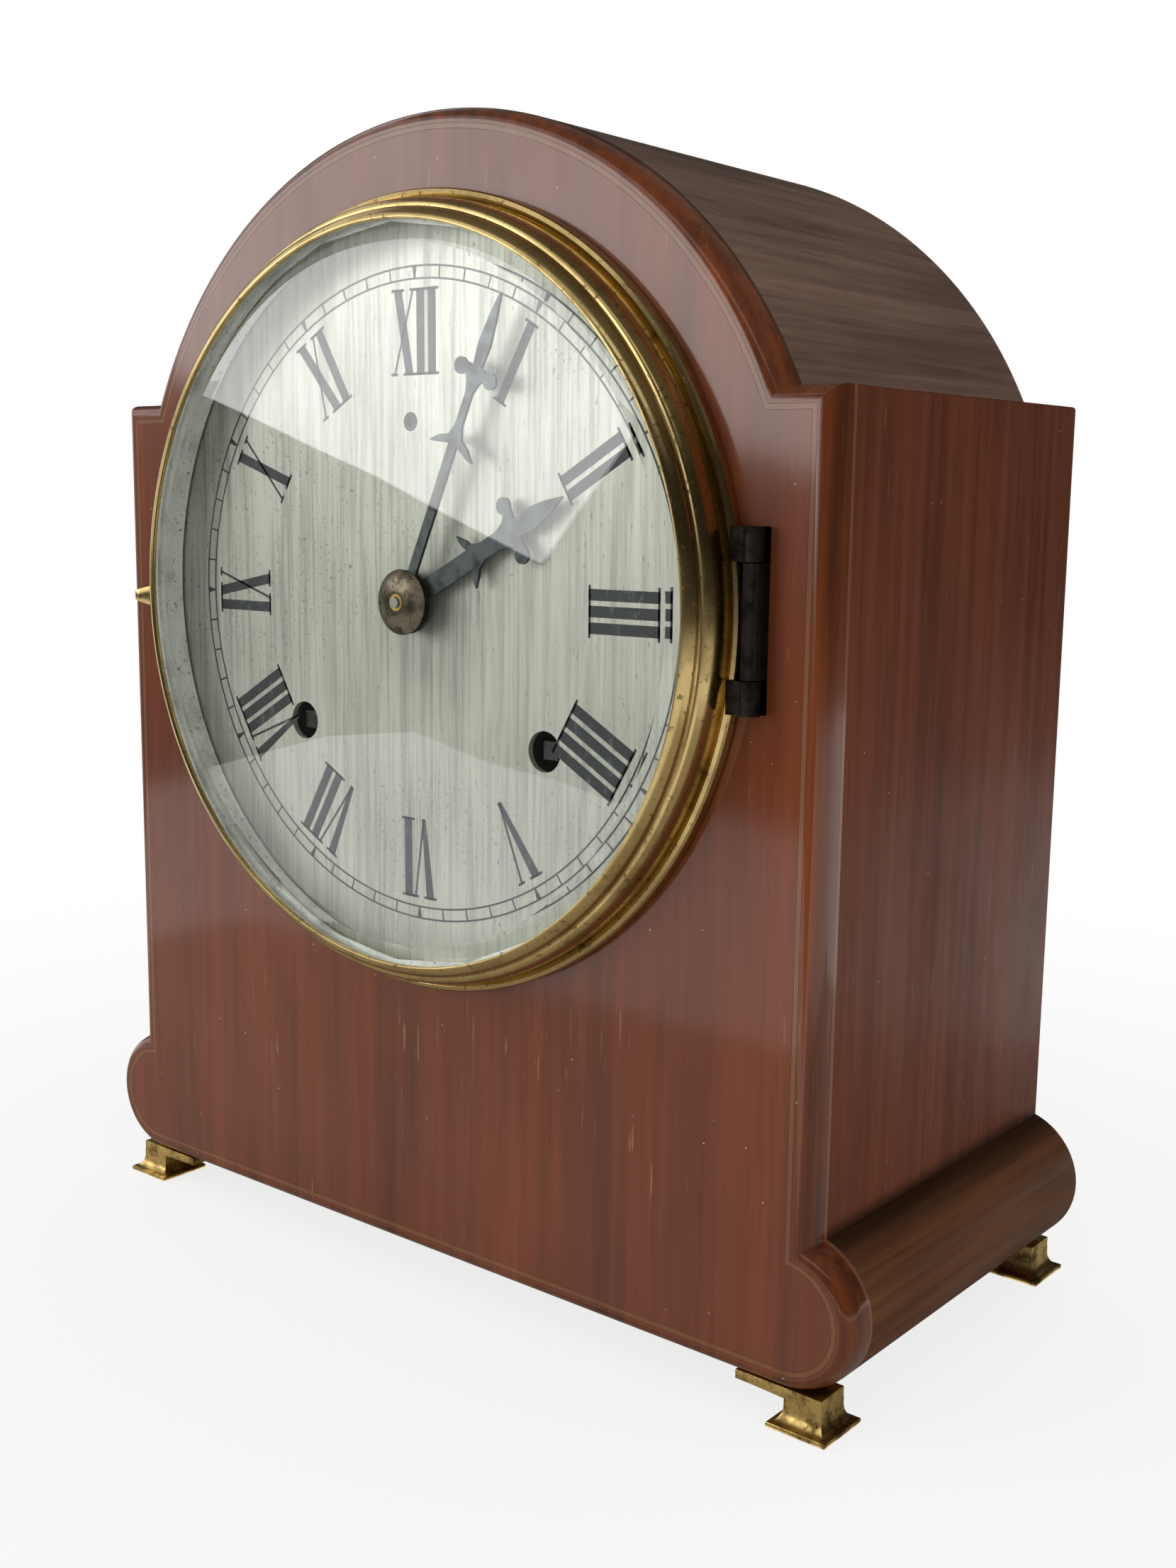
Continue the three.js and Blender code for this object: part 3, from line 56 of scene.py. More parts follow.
def makeCamera():
    data = bpy.data.cameras.new("view")
    data.sensor_fit, data.sensor_width, data.lens = "HORIZONTAL", camera["sensor"], camera["lens"]
    data.clip_start = camera["nearest"]
    obj = bpy.data.objects.new("view", data)
    bpy.context.collection.objects.link(obj)
    obj.location = at(*camera["place"])
    turn = Matrix.Rotation(math.radians(camera["yaw"]), 4, "Z")
    tilt = Matrix.Rotation(math.radians(90 - camera["pitch"]), 4, "X")
    roll = Matrix.Rotation(math.radians(camera["roll"]), 4, "Z")
    obj.rotation_euler = (turn @ tilt @ roll).to_euler()
    bpy.context.scene.camera = obj


makeCamera()


def newGroup(name, inputs, outputs):
    group = bpy.data.node_groups.new(name, "ShaderNodeTree")
    for label, kind, default in inputs:
        socket = group.interface.new_socket(label, in_out="INPUT", socket_type="NodeSocket" + kind)
        if default is not None:
            socket.default_value = default
    for label, kind in outputs:
        group.interface.new_socket(label, in_out="OUTPUT", socket_type="NodeSocket" + kind)
    return group, group.nodes.new("NodeGroupInput"), group.nodes.new("NodeGroupOutput")


def node(tree, kind, links=(), **values):
    made = tree.nodes.new("ShaderNode" + kind)
    for key, value in values.items():
        if key in made.inputs:
            made.inputs[key].default_value = value
        else:
            setattr(made, key, value)
    for socket, source in links:
        tree.links.new(source, made.inputs[socket])
    return made


def mixColours(tree, factor, first, second):
    made = tree.nodes.new("ShaderNodeMix")
    made.data_type = "RGBA"
    for index, value in ((0, factor), (6, first), (7, second)):
        if isinstance(value, bpy.types.NodeSocket):
            tree.links.new(value, made.inputs[index])
        elif isinstance(value, (int, float)):
            made.inputs[index].default_value = value
        else:
            made.inputs[index].default_value = (*value[:3], 1)
    return made.outputs[2]


def calc(tree, operation, *values, clamp=False):
    made = tree.nodes.new("ShaderNodeMath")
    made.operation, made.use_clamp = operation, clamp
    for index, value in enumerate(values):
        if isinstance(value, bpy.types.NodeSocket):
            tree.links.new(value, made.inputs[index])
        else:
            made.inputs[index].default_value = value
    return made.outputs[0]


def times(tree, first, second, clamp=False):
    return calc(tree, "MULTIPLY", first, second, clamp=clamp)


def ramp(tree, value, low, high):  # 0 below low, 1 above high
    made = tree.nodes.new("ShaderNodeMapRange")
    made.interpolation_type = "SMOOTHSTEP"
    tree.links.new(value, made.inputs["Value"])
    made.inputs["From Min"].default_value, made.inputs["From Max"].default_value = low, high
    return made.outputs[0]


def noise(tree, vector, scale, detail=3, stretch=(1, 1, 1), roughness=0.5, shift=(0, 0, 0)):
    mapping = node(tree, "Mapping", [("Vector", vector)], Scale=stretch, Location=shift)
    made = node(tree, "TexNoise", [("Vector", mapping.outputs[0])],
                Scale=scale, Detail=detail, Roughness=roughness)
    return made.outputs["Fac"]


def hexColour(text):
    channels = [int(text[i:i + 2], 16) / 255 for i in (0, 2, 4)]
    return tuple(c / 12.92 if c <= 0.04045 else ((c + 0.055) / 1.055) ** 2.4 for c in channels) + (1,)


# Patterns of a close wood under old polish, drawn out along its upright grain.
grain = {
    "streak": {"scale": 300, "detail": 4, "stretch": (1, 1, 0.035), "roughness": 0.62},
    "band": {"scale": 60, "stretch": (1, 1, 0.09), "roughness": 0.55, "shift": (0.3, 0, 0.1)},
    "cloud": {"scale": 17, "stretch": (1, 1, 0.6), "shift": (0.1, 0.7, 0.2)},
    "pore": {"scale": 1500, "detail": 2, "stretch": (1, 1, 0.03)},
    "smear": {"scale": 38, "detail": 4, "stretch": (1, 1, 0.5), "roughness": 0.6, "shift": (0.9, 0.2, 0.4)},
}
toneShares = {"streak": 0.42, "band": 0.33, "cloud": 0.25}
poreColour, poreDepth, streakDepth = (0.02, 0.008, 0.005), 0.55, 0.35


def makeWoodGroup():
    tree, given, out = newGroup("polishedWood", [
        ("Vector", "Vector", None), ("Pale", "Color", (0.2, 0.1, 0.06, 1)),
        ("Deep", "Color", (0.08, 0.03, 0.02, 1)), ("Figure", "Float", 0.5), ("Pores", "Float", 0.5)],
        [("Color", "Color"), ("Height", "Float"), ("Roughness", "Float")])
    vector = given.outputs["Vector"]
    found = {name: noise(tree, vector, **pattern) for name, pattern in grain.items()}
    shares = [times(tree, ramp(tree, found[name], 0.3, 0.7), share)
              for name, share in toneShares.items()]
    tone = calc(tree, "ADD", calc(tree, "ADD", shares[0], shares[1]), shares[2])
    centred = times(tree, calc(tree, "SUBTRACT", tone, 0.5), given.outputs["Figure"])
    colour = mixColours(tree, calc(tree, "ADD", centred, 0.5, clamp=True),
                        given.outputs["Deep"], given.outputs["Pale"])
    poreMask = times(tree, ramp(tree, found["pore"], 0.62, 0.74), given.outputs["Pores"])
    colour = mixColours(tree, times(tree, poreMask, poreDepth), colour, poreColour)
    height = calc(tree, "SUBTRACT", times(tree, found["streak"], streakDepth), poreMask)
    tree.links.new(colour, out.inputs["Color"])
    tree.links.new(height, out.inputs["Height"])
    tree.links.new(ramp(tree, found["smear"], 0.3, 0.75), out.inputs["Roughness"])
    return tree


# Dust specks, kept to a few places, and short pale scratches where the polish is worn.
wearMarks = {
    "rare": {"scale": 150, "detail": 0, "shift": (2, 1, 0)},
    "scrape": {"scale": 900, "detail": 1, "stretch": (1, 1, 0.07), "shift": (0, 3, 1)},
    "worn": {"scale": 26, "detail": 2, "shift": (5, 0, 2)},
}
speckCells = 260


def makeWearGroup():
    tree, given, out = newGroup("handlingWear", [
        ("Vector", "Vector", None), ("Specks", "Float", 0.5), ("Scratches", "Float", 0.5)],
        [("Specks", "Float"), ("Scratches", "Float")])
    vector = given.outputs["Vector"]
    found = {name: noise(tree, vector, **pattern) for name, pattern in wearMarks.items()}
    cells = node(tree, "TexVoronoi", [("Vector", vector)], Scale=speckCells)
    speck = calc(tree, "SUBTRACT", 1, ramp(tree, cells.outputs["Distance"], 0.035, 0.07))
    rare = ramp(tree, found["rare"], 0.6, 0.66)
    speck = times(tree, times(tree, speck, rare), given.outputs["Specks"])
    scrape, worn = ramp(tree, found["scrape"], 0.66, 0.72), ramp(tree, found["worn"], 0.56, 0.7)
    scrape = times(tree, times(tree, scrape, worn), given.outputs["Scratches"])
    tree.links.new(speck, out.inputs["Specks"])
    tree.links.new(scrape, out.inputs["Scratches"])
    return tree


# Blotches of old metal and, nine times finer, its spotting.
def makeTarnishGroup():
    tree, given, out = newGroup("tarnish", [
        ("Vector", "Vector", None), ("Scale", "Float", 60.0), ("Amount", "Float", 0.5)],
        [("Blotches", "Float"), ("Spots", "Float")])
    mapping = node(tree, "VectorMath", [(0, given.outputs["Vector"])], operation="SCALE")
    tree.links.new(given.outputs["Scale"], mapping.inputs["Scale"])
    broad = node(tree, "TexNoise", [("Vector", mapping.outputs[0])], Scale=1, Detail=5, Roughness=0.65)
    fine = node(tree, "TexNoise", [("Vector", mapping.outputs[0])], Scale=9, Detail=3, Roughness=0.6)
    blotch = times(tree, ramp(tree, broad.outputs["Fac"], 0.42, 0.68), given.outputs["Amount"])
    spots = times(tree, ramp(tree, fine.outputs["Fac"], 0.6, 0.68), given.outputs["Amount"])
    tree.links.new(blotch, out.inputs["Blotches"])
    tree.links.new(spots, out.inputs["Spots"])
    return tree


woodGroup, wearGroup, tarnishGroup = makeWoodGroup(), makeWearGroup(), makeTarnishGroup()
print("shader groups made")


def newMaterial(name, colour=(0.5, 0.5, 0.5), **plain):
    material = bpy.data.materials.new(name)
    material.use_nodes = True
    tree = material.node_tree
    shader = tree.nodes["Principled BSDF"]
    shader.inputs["Base Color"].default_value = (*colour[:3], 1)
    for label, value in plain.items():
        shader.inputs[label].default_value = value
    return material, tree, shader


def placeGroup(tree, group, vector, **values):
    made = tree.nodes.new("ShaderNodeGroup")
    made.node_tree = group
    tree.links.new(vector, made.inputs["Vector"])
    for label, value in values.items():
        made.inputs[label].default_value = value
    return made


def objectVector(tree):
    return tree.nodes.new("ShaderNodeTexCoord").outputs["Object"]


def bump(tree, shader, height, strength, distance=0.0002):
    made = node(tree, "Bump", [("Height", height)], Strength=strength, Distance=distance)
    tree.links.new(made.outputs[0], shader.inputs["Normal"])


# Woods: colours, strength of figure and pores, roughness of the wood, then its shine, the coat of polish
# with its blur, the handling wear, and a turn where the grain runs front to back.
frontToBack = (math.pi / 2, 0, 0)
# The front's haze is a painted sheen that stands for mirrored light, partly bloomed polish.
woods = {
    "mahoganyFront": {"pale": "7d3b15", "deep": "481e09", "figure": 0.8, "pores": 0.3, "gloss": 0.5,
                      "shine": 0.12, "coat": 1.0, "blur": 0.1, "wear": 0.7, "sheenHaze": 0.05},
    "mahoganySide": {"pale": "7a4129", "deep": "4a2415", "figure": 0.9, "pores": 0.45, "gloss": 0.5,
                     "shine": 0.1, "coat": 0.1, "blur": 0.2, "wear": 0.45, "jointDark": (0.0455, 0.0418)},
    "mahoganyRoof": {"pale": "8a6c5c", "deep": "4a352b", "figure": 1.0, "pores": 0.6, "gloss": 0.5,
                     "shine": 0.4, "coat": 0.1, "blur": 0.3, "wear": 0.4, "turn": frontToBack},
    "mahoganyTorus": {"pale": "74492c", "deep": "3e2415", "figure": 1.0, "pores": 0.5, "gloss": 0.45,
                      "shine": 0.06, "coat": 0.05, "blur": 0.2, "wear": 0.3, "turn": frontToBack,
                      "jointDark": (0.0365, 0.0416)},
    "mahoganyEdge": {"pale": "7d3c14", "deep": "36170a", "figure": 1.1, "pores": 0.3, "gloss": 0.4,
                     "shine": 0.1, "coat": 1.0, "blur": 0.12, "wear": 0.2},
    "mahoganyBack": {"pale": "6b4530", "deep": "3b2317", "figure": 0.9, "pores": 0.5, "gloss": 0.55,
                     "shine": 0.2, "coat": 0.05, "blur": 0.3, "wear": 0.4},
    "innerWood": {"pale": "9a7350", "deep": "6f4e34", "figure": 0.8, "pores": 0.6, "gloss": 0.66,
                  "shine": 0.3, "coat": 0.0, "blur": 0.3, "wear": 0.1},
    "stainedString": {"pale": "5a3f2c", "deep": "332218", "figure": 0.6, "pores": 0.2, "gloss": 0.45,
                      "shine": 0.1, "coat": 0.0, "blur": 0.2, "wear": 0.0},
    "boxwood": {"pale": "875838", "deep": "603923", "figure": 0.6, "pores": 0.2, "gloss": 0.4,
                "shine": 0.12, "coat": 1.0, "blur": 0.1, "wear": 0.0},
}
# Heights in metres between which the front is painted paler, a painted sheen for mirrored light with some
# bloomed polish; then the colours of that sheen, of the darkening by the joint, of scratch and of speck.
sheenAndBloom = {"top": (0.13, 0.27), "foot": (0.03, 0.1), "footShare": 0.45, "colour": "c6a19a"}
jointAndWear = {"wax": "1a100a", "jointShare": 0.7, "scratch": "b98a6c", "scratchShare": 0.5, "speck": "c9b7a6"}


def makeWood(name, look):
    material, tree, shader = newMaterial(name)
    plain = objectVector(tree)
    turned = node(tree, "Mapping", [("Vector", plain)], Rotation=look.get("turn", (0, 0, 0))).outputs[0]
    grown = placeGroup(tree, woodGroup, turned, Pale=hexColour(look["pale"]), Deep=hexColour(look["deep"]),
                       Figure=look["figure"], Pores=look["pores"])
    wear = placeGroup(tree, wearGroup, turned, Specks=look["wear"], Scratches=look["wear"])
    colour = grown.outputs["Color"]
    height = node(tree, "SeparateXYZ", [("Vector", plain)]).outputs["Z"]
    if "sheenHaze" in look:  # painted sheen for mirrored light, partly bloomed polish, towards the top and a little at the foot
        top = ramp(tree, height, *sheenAndBloom["top"])
        foot = calc(tree, "SUBTRACT", 1, ramp(tree, height, *sheenAndBloom["foot"]))
        foot = times(tree, foot, sheenAndBloom["footShare"])
        cloud = ramp(tree, noise(tree, plain, 22), 0.25, 0.7)
        sheenAmount = times(tree, calc(tree, "ADD", top, foot), calc(tree, "ADD", 0.6, cloud))
        colour = mixColours(tree, times(tree, sheenAmount, look["sheenHaze"], clamp=True),
                            colour, hexColour(sheenAndBloom["colour"]))
    if "jointDark" in look:  # darker towards the joint of side panel and moulding, from the height where it starts to the height where it is darkest
        plainHeight, darkHeight = look["jointDark"]
        jointDark = ramp(tree, height, min(plainHeight, darkHeight), max(plainHeight, darkHeight))
        if plainHeight > darkHeight:
            jointDark = calc(tree, "SUBTRACT", 1, jointDark)
        colour = mixColours(tree, times(tree, jointDark, jointAndWear["jointShare"]), colour,
                            hexColour(jointAndWear["wax"]))
    scratched = times(tree, wear.outputs["Scratches"], jointAndWear["scratchShare"])
    colour = mixColours(tree, scratched, colour, hexColour(jointAndWear["scratch"]))
    colour = mixColours(tree, wear.outputs["Specks"], colour, hexColour(jointAndWear["speck"]))
    tree.links.new(colour, shader.inputs["Base Color"])
    rough = calc(tree, "ADD", look["gloss"] - 0.07, times(tree, grown.outputs["Roughness"], 0.16))
    tree.links.new(rough, shader.inputs["Roughness"])
    shader.inputs["Specular IOR Level"].default_value = look["shine"]
    shader.inputs["Coat Weight"].default_value = look["coat"]
    shader.inputs["Coat Roughness"].default_value = look["blur"]
    bump(tree, shader, grown.outputs["Height"], 0.12)
    return material


wood = {name: makeWood(name, look) for name, look in woods.items()}

# Metals: bright and tarnished colour, roughness, scale and strength of the tarnish, colour of its spots.
metals = {
    "brassOld": {"bright": "cab077", "dull": "867046", "rough": 0.19, "scale": 60, "tarnish": 0.5,
                 "spots": "3a2812"},
    # The grey brass is painted near white: painted light for the sky mirrored in the glass bevel, lifting the
    # shaded wall.
    "greyBrassPaintedLight": {"bright": "eceee6", "dull": "b4b7ae", "rough": 0.35, "scale": 90, "tarnish": 0.7,
                  "spots": "4f514b", "metallic": 0.1},
    "brassFeet": {"bright": "ecca80", "dull": "80683c", "rough": 0.3, "scale": 200, "tarnish": 1.0,
                  "spots": "241a0e"},
    "brassMovement": {"bright": "cfae62", "dull": "a2823e", "rough": 0.26, "scale": 50, "tarnish": 0.35,
                      "spots": "6b5222"},
    "bluedSteel": {"bright": "565b5c", "dull": "2a2c2d", "rough": 0.38, "scale": 220, "tarnish": 0.8,
                   "spots": "6a655c"},
    "darkBronze": {"bright": "6e6454", "dull": "25221e", "rough": 0.2, "scale": 260, "tarnish": 0.9,
                   "spots": "151412"},
    "blackIron": {"bright": "38332e", "dull": "191512", "rough": 0.55, "scale": 240, "tarnish": 0.8,
                  "spots": "55402c"},
    "darkSteel": {"bright": "4a4a48", "dull": "262523", "rough": 0.45, "scale": 200, "tarnish": 0.7,
                  "spots": "7a766c"},
    "plainSteel": {"bright": "a5a6a6", "dull": "6f6e6a", "rough": 0.32, "scale": 90, "tarnish": 0.4,
                   "spots": "4d463c"},
}
tarnishRough = {"blotch": 0.22, "spot": 0.3}  # how much rougher each leaves the metal


def makeMetal(name, look):
    material, tree, shader = newMaterial(name, Metallic=look.get("metallic", 1.0))
    patina = placeGroup(tree, tarnishGroup, objectVector(tree), Scale=look["scale"], Amount=look["tarnish"])
    colour = mixColours(tree, patina.outputs["Blotches"], hexColour(look["bright"]), hexColour(look["dull"]))
    colour = mixColours(tree, patina.outputs["Spots"], colour, hexColour(look["spots"]))
    tree.links.new(colour, shader.inputs["Base Color"])
    blotch = times(tree, patina.outputs["Blotches"], tarnishRough["blotch"])
    spot = times(tree, patina.outputs["Spots"], tarnishRough["spot"])
    rough = calc(tree, "ADD", calc(tree, "ADD", look["rough"], blotch), spot)
    tree.links.new(rough, shader.inputs["Roughness"])
    bump(tree, shader, patina.outputs["Spots"], 0.15, 0.00005)
    return material


metal = {name: makeMetal(name, look) for name, look in metals.items()}

# The silvered face: brushed upright, cloudy, rubbed grey round "rubbedAt" and spotted.
silvering = {
    "pale": "c6c8b9", "grey": "83857a", "spot": "403f38", "rough": 0.36, "rubbedAt": (3, 0, -6),
    "rubbed": (0.006, 0.026), "spotScale": 110,
    "brush": {"scale": 900, "stretch": (1, 1, 0.03), "roughness": 0.6},
    "streak": {"scale": 160, "stretch": (1, 1, 0.08), "roughness": 0.6, "shift": (1, 0, 0)},
    "cloud": {"scale": 20, "detail": 4, "stretch": (1, 1, 0.7), "roughness": 0.55, "shift": (0, 0, 3)},
    "fleck": {"scale": 1100, "detail": 2, "stretch": (1, 1, 0.35), "roughness": 0.6, "shift": (4, 0, 1)},
}
greyShares = {"brush": (0.38, 0.66, 0.38), "streak": (0.35, 0.75, 0.25), "cloud": (0.35, 0.75, 0.35)}
wax = {"black": "23272a", "worn": "6a6f6c", "wornShare": 0.45}
pane = {"tint": (0.975, 0.985, 0.98), "specks": 0.2, "dust": 0.3}


def makeSilvered():
    material, tree, shader = newMaterial("silveredBrass", Metallic=0.5)
    vector = objectVector(tree)
    found = {name: noise(tree, vector, **silvering[name]) for name in ("brush", "streak", "cloud", "fleck")}
    shares = [times(tree, ramp(tree, found[name], low, high), share)
              for name, (low, high, share) in greyShares.items()]
    grey = calc(tree, "ADD", calc(tree, "ADD", shares[0], shares[1]), shares[2])
    away = node(tree, "VectorMath", [(0, vector)], operation="DISTANCE")
    away.inputs[1].default_value = at(*silvering["rubbedAt"])
    rubbed = calc(tree, "SUBTRACT", 1, ramp(tree, away.outputs["Value"], *silvering["rubbed"]))
    grey = calc(tree, "ADD", grey, times(tree, rubbed, 0.45), clamp=True)
    colour = mixColours(tree, grey, hexColour(silvering["pale"]), hexColour(silvering["grey"]))
    patina = placeGroup(tree, tarnishGroup, vector, Scale=silvering["spotScale"], Amount=0.5)
    spots = times(tree, patina.outputs["Spots"], ramp(tree, found["cloud"], 0.42, 0.62))
    flecks = times(tree, ramp(tree, found["fleck"], 0.66, 0.74), 0.5)
    for mask in (spots, flecks):
        colour = mixColours(tree, mask, colour, hexColour(silvering["spot"]))
    tree.links.new(colour, shader.inputs["Base Color"])
    rough = calc(tree, "ADD", silvering["rough"], times(tree, grey, 0.2))
    tree.links.new(rough, shader.inputs["Roughness"])
    bump(tree, shader, found["brush"], 0.08, 0.00005)
    return material


def makeBlackWax():
    material, tree, shader = newMaterial("blackWax", Roughness=0.5)
    worn = noise(tree, objectVector(tree), 500, 4, (1, 1, 0.5), 0.7)
    worn = times(tree, ramp(tree, worn, 0.55, 0.68), wax["wornShare"])
    colour = mixColours(tree, worn, hexColour(wax["black"]), hexColour(wax["worn"]))
    tree.links.new(colour, shader.inputs["Base Color"])
    return material


def makeGlass():
    material, tree, shader = newMaterial("bevelledGlass", pane["tint"], Roughness=0.0, IOR=1.5)
    shader.inputs["Transmission Weight"].default_value = 1.0
    dust = placeGroup(tree, wearGroup, objectVector(tree), Specks=pane["specks"], Scratches=0.0)
    rough = times(tree, dust.outputs["Specks"], pane["dust"])
    tree.links.new(rough, shader.inputs["Roughness"])
    return material


silvered, blackWax, glass = makeSilvered(), makeBlackWax(), makeGlass()
print("finishes made")

near = 1e-6  # metres within which two places count as one


def newObject(name, bm, materials):
    mesh = bpy.data.meshes.new(name)
    bm.to_mesh(mesh)
    bm.free()
    for material in materials:
        mesh.materials.append(material)
    obj = bpy.data.objects.new(name, mesh)
    bpy.context.collection.objects.link(obj)
    return obj


def finishPiece(name, bm, body, materials, sharp=35, replaces=()):
    bmesh.ops.remove_doubles(bm, verts=bm.verts, dist=near)
    bmesh.ops.recalc_face_normals(bm, faces=bm.faces)
    obj = newObject(name, bm, materials)
    obj.data.polygons.foreach_set("use_smooth", [True] * len(obj.data.polygons))
    obj.data.set_sharp_from_angle(angle=math.radians(sharp))
    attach(obj, body)
    if replaces:
        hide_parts(*replaces)
    return obj


def vert(bm, x, y, z):
    return bm.verts.new(at(x, y, z))


def arcWire(bm, first, centre, degrees, steps):
    made = bmesh.ops.spin(bm, geom=[first], cent=centre, axis=yAxis, angle=math.radians(degrees), steps=steps)
    return made["geom_last"][0]


def spinProfile(bm, profile, steps, centre=(0, 0), closed=False):
    # profile is a list of (radius, y); it is spun round a line along y
    wire = [vert(bm, centre[0], y, centre[1] + radius) for radius, y in profile]
    pairs = list(zip(wire, wire[1:] + wire[:1])) if closed else list(zip(wire, wire[1:]))
    edges = [bm.edges.new(pair) for pair in pairs]
    bmesh.ops.spin(bm, geom=wire + edges, cent=at(centre[0], 0, centre[1]), axis=yAxis,
                   angle=math.tau, steps=steps, use_merge=True)
    bmesh.ops.remove_doubles(bm, verts=bm.verts, dist=1e-7)


def quarterTurn(steps):
    return [t * math.pi / 2 / steps for t in range(steps + 1)]


def extrudeFaces(bm, faces, shift):
    # pushes flat faces out to a body and returns the corners that moved; the shift is in millimetres
    made = bmesh.ops.extrude_face_region(bm, geom=faces)
    moved = [g for g in made["geom"] if isinstance(g, bmesh.types.BMVert)]
    bmesh.ops.translate(bm, verts=moved, vec=Vector(shift) * 0.001)
    return moved


def block(bm, x0, x1, y0, y1, z0, z1):
    made = bmesh.ops.create_cube(bm, size=1)
    centre = at((x0 + x1) / 2, (y0 + y1) / 2, (z0 + z1) / 2)
    size = Matrix.Diagonal(((x1 - x0) / 1000, (y1 - y0) / 1000, (z1 - z0) / 1000, 1))
    bmesh.ops.transform(bm, matrix=Matrix.Translation(centre) @ size, verts=made["verts"])
    return made["verts"]


def softenEdges(bm, edges, width, segments=2):
    bmesh.ops.bevel(bm, geom=edges, offset=width / 1000, offset_type="OFFSET", segments=segments,
                    profile=0.5, affect="EDGES", material=-1, clamp_overlap=True)


# The case: half width, radius of the arch, heights of shoulder and foot, the half-round lobe at each foot,
# thicknesses, the ovolo round the front, and the line let into the face with its play in the groove.
case = {"half": 111, "arch": 108, "archZ": 2.4, "shoulder": 47.2, "bottom": -162.2, "lobe": 16.81,
        "lobeX": 106, "lobeSteps": 24, "board": 8.4, "depth": 109.8, "opening": 88.6, "openingSteps": 128,
        "ovoloWide": 3.0, "ovoloDeep": 5.0, "ovoloSteps": 8, "string": 3.85, "stringWide": 1.1,
        "inlay": 1.2, "play": 0.06, "side": 8, "sideEdge": 0.8, "roof": 5, "backEdge": 0.7, "edgeTurn": 0.2,
        "mouldingIn": 3, "mouldingSteps": 28, "steps": 96}
back = at(0, case["depth"], 0).y
case["lobeZ"] = case["bottom"] + case["lobe"]


def caseLoop(bm, inset, y):
    # outline of the case front, drawn in by a distance, as one closed wire
    lobe, side = case["lobe"] - inset, case["half"] - inset
    shoulder, arch = case["shoulder"] - inset, case["arch"] - inset
    lobeEnd = math.degrees(math.acos((side - case["lobeX"]) / lobe))
    archStart = math.degrees(math.asin((shoulder - case["archZ"]) / arch))
    before = set(bm.verts)
    foot = vert(bm, case["lobeX"], y, case["bottom"] + inset)
    last = arcWire(bm, foot, at(case["lobeX"], y, case["lobeZ"]), -90 - lobeEnd, case["lobeSteps"])
    corner = vert(bm, side, y, shoulder)
    bm.edges.new((last, corner))
    spring = vert(bm, arch * math.cos(math.radians(archStart)), y, shoulder)
    bm.edges.new((corner, spring))
    arcWire(bm, spring, at(0, y, case["archZ"]), archStart - 90, case["steps"] // 2)
    half = [v for v in bm.verts if v not in before]
    wires = list({e for v in half for e in v.link_edges})
    bmesh.ops.mirror(bm, geom=half + wires, matrix=Matrix.Identity(4), merge_dist=1e-6, axis="X")
    level = [v for v in bm.verts if v not in before and abs(v.co.z - foot.co.z) < 1e-7]
    left = min(level, key=lambda v: v.co.x)
    bm.edges.new((foot, left))
    return list({e for v in bm.verts if v not in before for e in v.link_edges if e.is_wire})


def circleLoop(bm, radius, y, steps, x=0.0, z=0.0):
    made = bmesh.ops.create_circle(bm, segments=steps, radius=radius / 1000, cap_ends=False)
    bmesh.ops.rotate(bm, verts=made["verts"], cent=(0, 0, 0), matrix=Matrix.Rotation(math.pi / 2, 3, "X"))
    bmesh.ops.translate(bm, verts=made["verts"], vec=at(x, y, z))
    return list({e for v in made["verts"] for e in v.link_edges})


def bridge(bm, first, second, apart=(0, 0.02, 0)):
    # loops in one plane are drawn apart while they are bridged, so that neither is turned round
    moved = list({v for e in second for v in e.verts})
    bmesh.ops.translate(bm, verts=moved, vec=apart)
    bmesh.ops.bridge_loops(bm, edges=first + second)
    bmesh.ops.translate(bm, verts=moved, vec=-Vector(apart))


def fillBetween(bm, *loops):
    edges = [e for loop in loops for e in loop]
    return bmesh.ops.triangle_fill(bm, edges=edges, use_beauty=True, use_dissolve=False,
                                   normal=(0, -1, 0))["geom"]


def makeFrontBoard():
    bm = bmesh.new()
    loops = [caseLoop(bm, case["ovoloWide"] * (1 - math.sin(turn)), case["ovoloDeep"] * (1 - math.cos(turn)))
             for turn in quarterTurn(case["ovoloSteps"])]
    rebate, cut = case["board"] - case["inlay"], case["inlay"] + case["play"]
    loops += [caseLoop(bm, 0, rebate), caseLoop(bm, cut, rebate), caseLoop(bm, cut, case["board"])]
    for first, second in zip(loops, loops[1:]):
        bridge(bm, first, second)
    edgeFaces = set(bm.faces)
    outside = case["string"] - case["play"]
    inside = case["string"] + case["stringWide"] + case["play"]
    groove = [caseLoop(bm, inset, y) for inset, y in (
        (outside, 0), (outside, cut), (inside, cut), (inside, 0))]
    for first, second in zip([loops[0]] + groove, groove):
        bridge(bm, first, second)
    hole = circleLoop(bm, case["opening"], 0, case["openingSteps"])
    holeBack = circleLoop(bm, case["opening"], case["board"], case["openingSteps"])
    fillBetween(bm, groove[-1], hole)
    bridge(bm, hole, holeBack)
    fillBetween(bm, loops[-1], holeBack)
    for face in bm.faces:
        face.material_index = 1 if face in edgeFaces else 0
    finishPiece("frontBoard", bm, "case", [wood["mahoganyFront"], wood["mahoganyEdge"]], sharp=28,
                replaces=["front_board"])


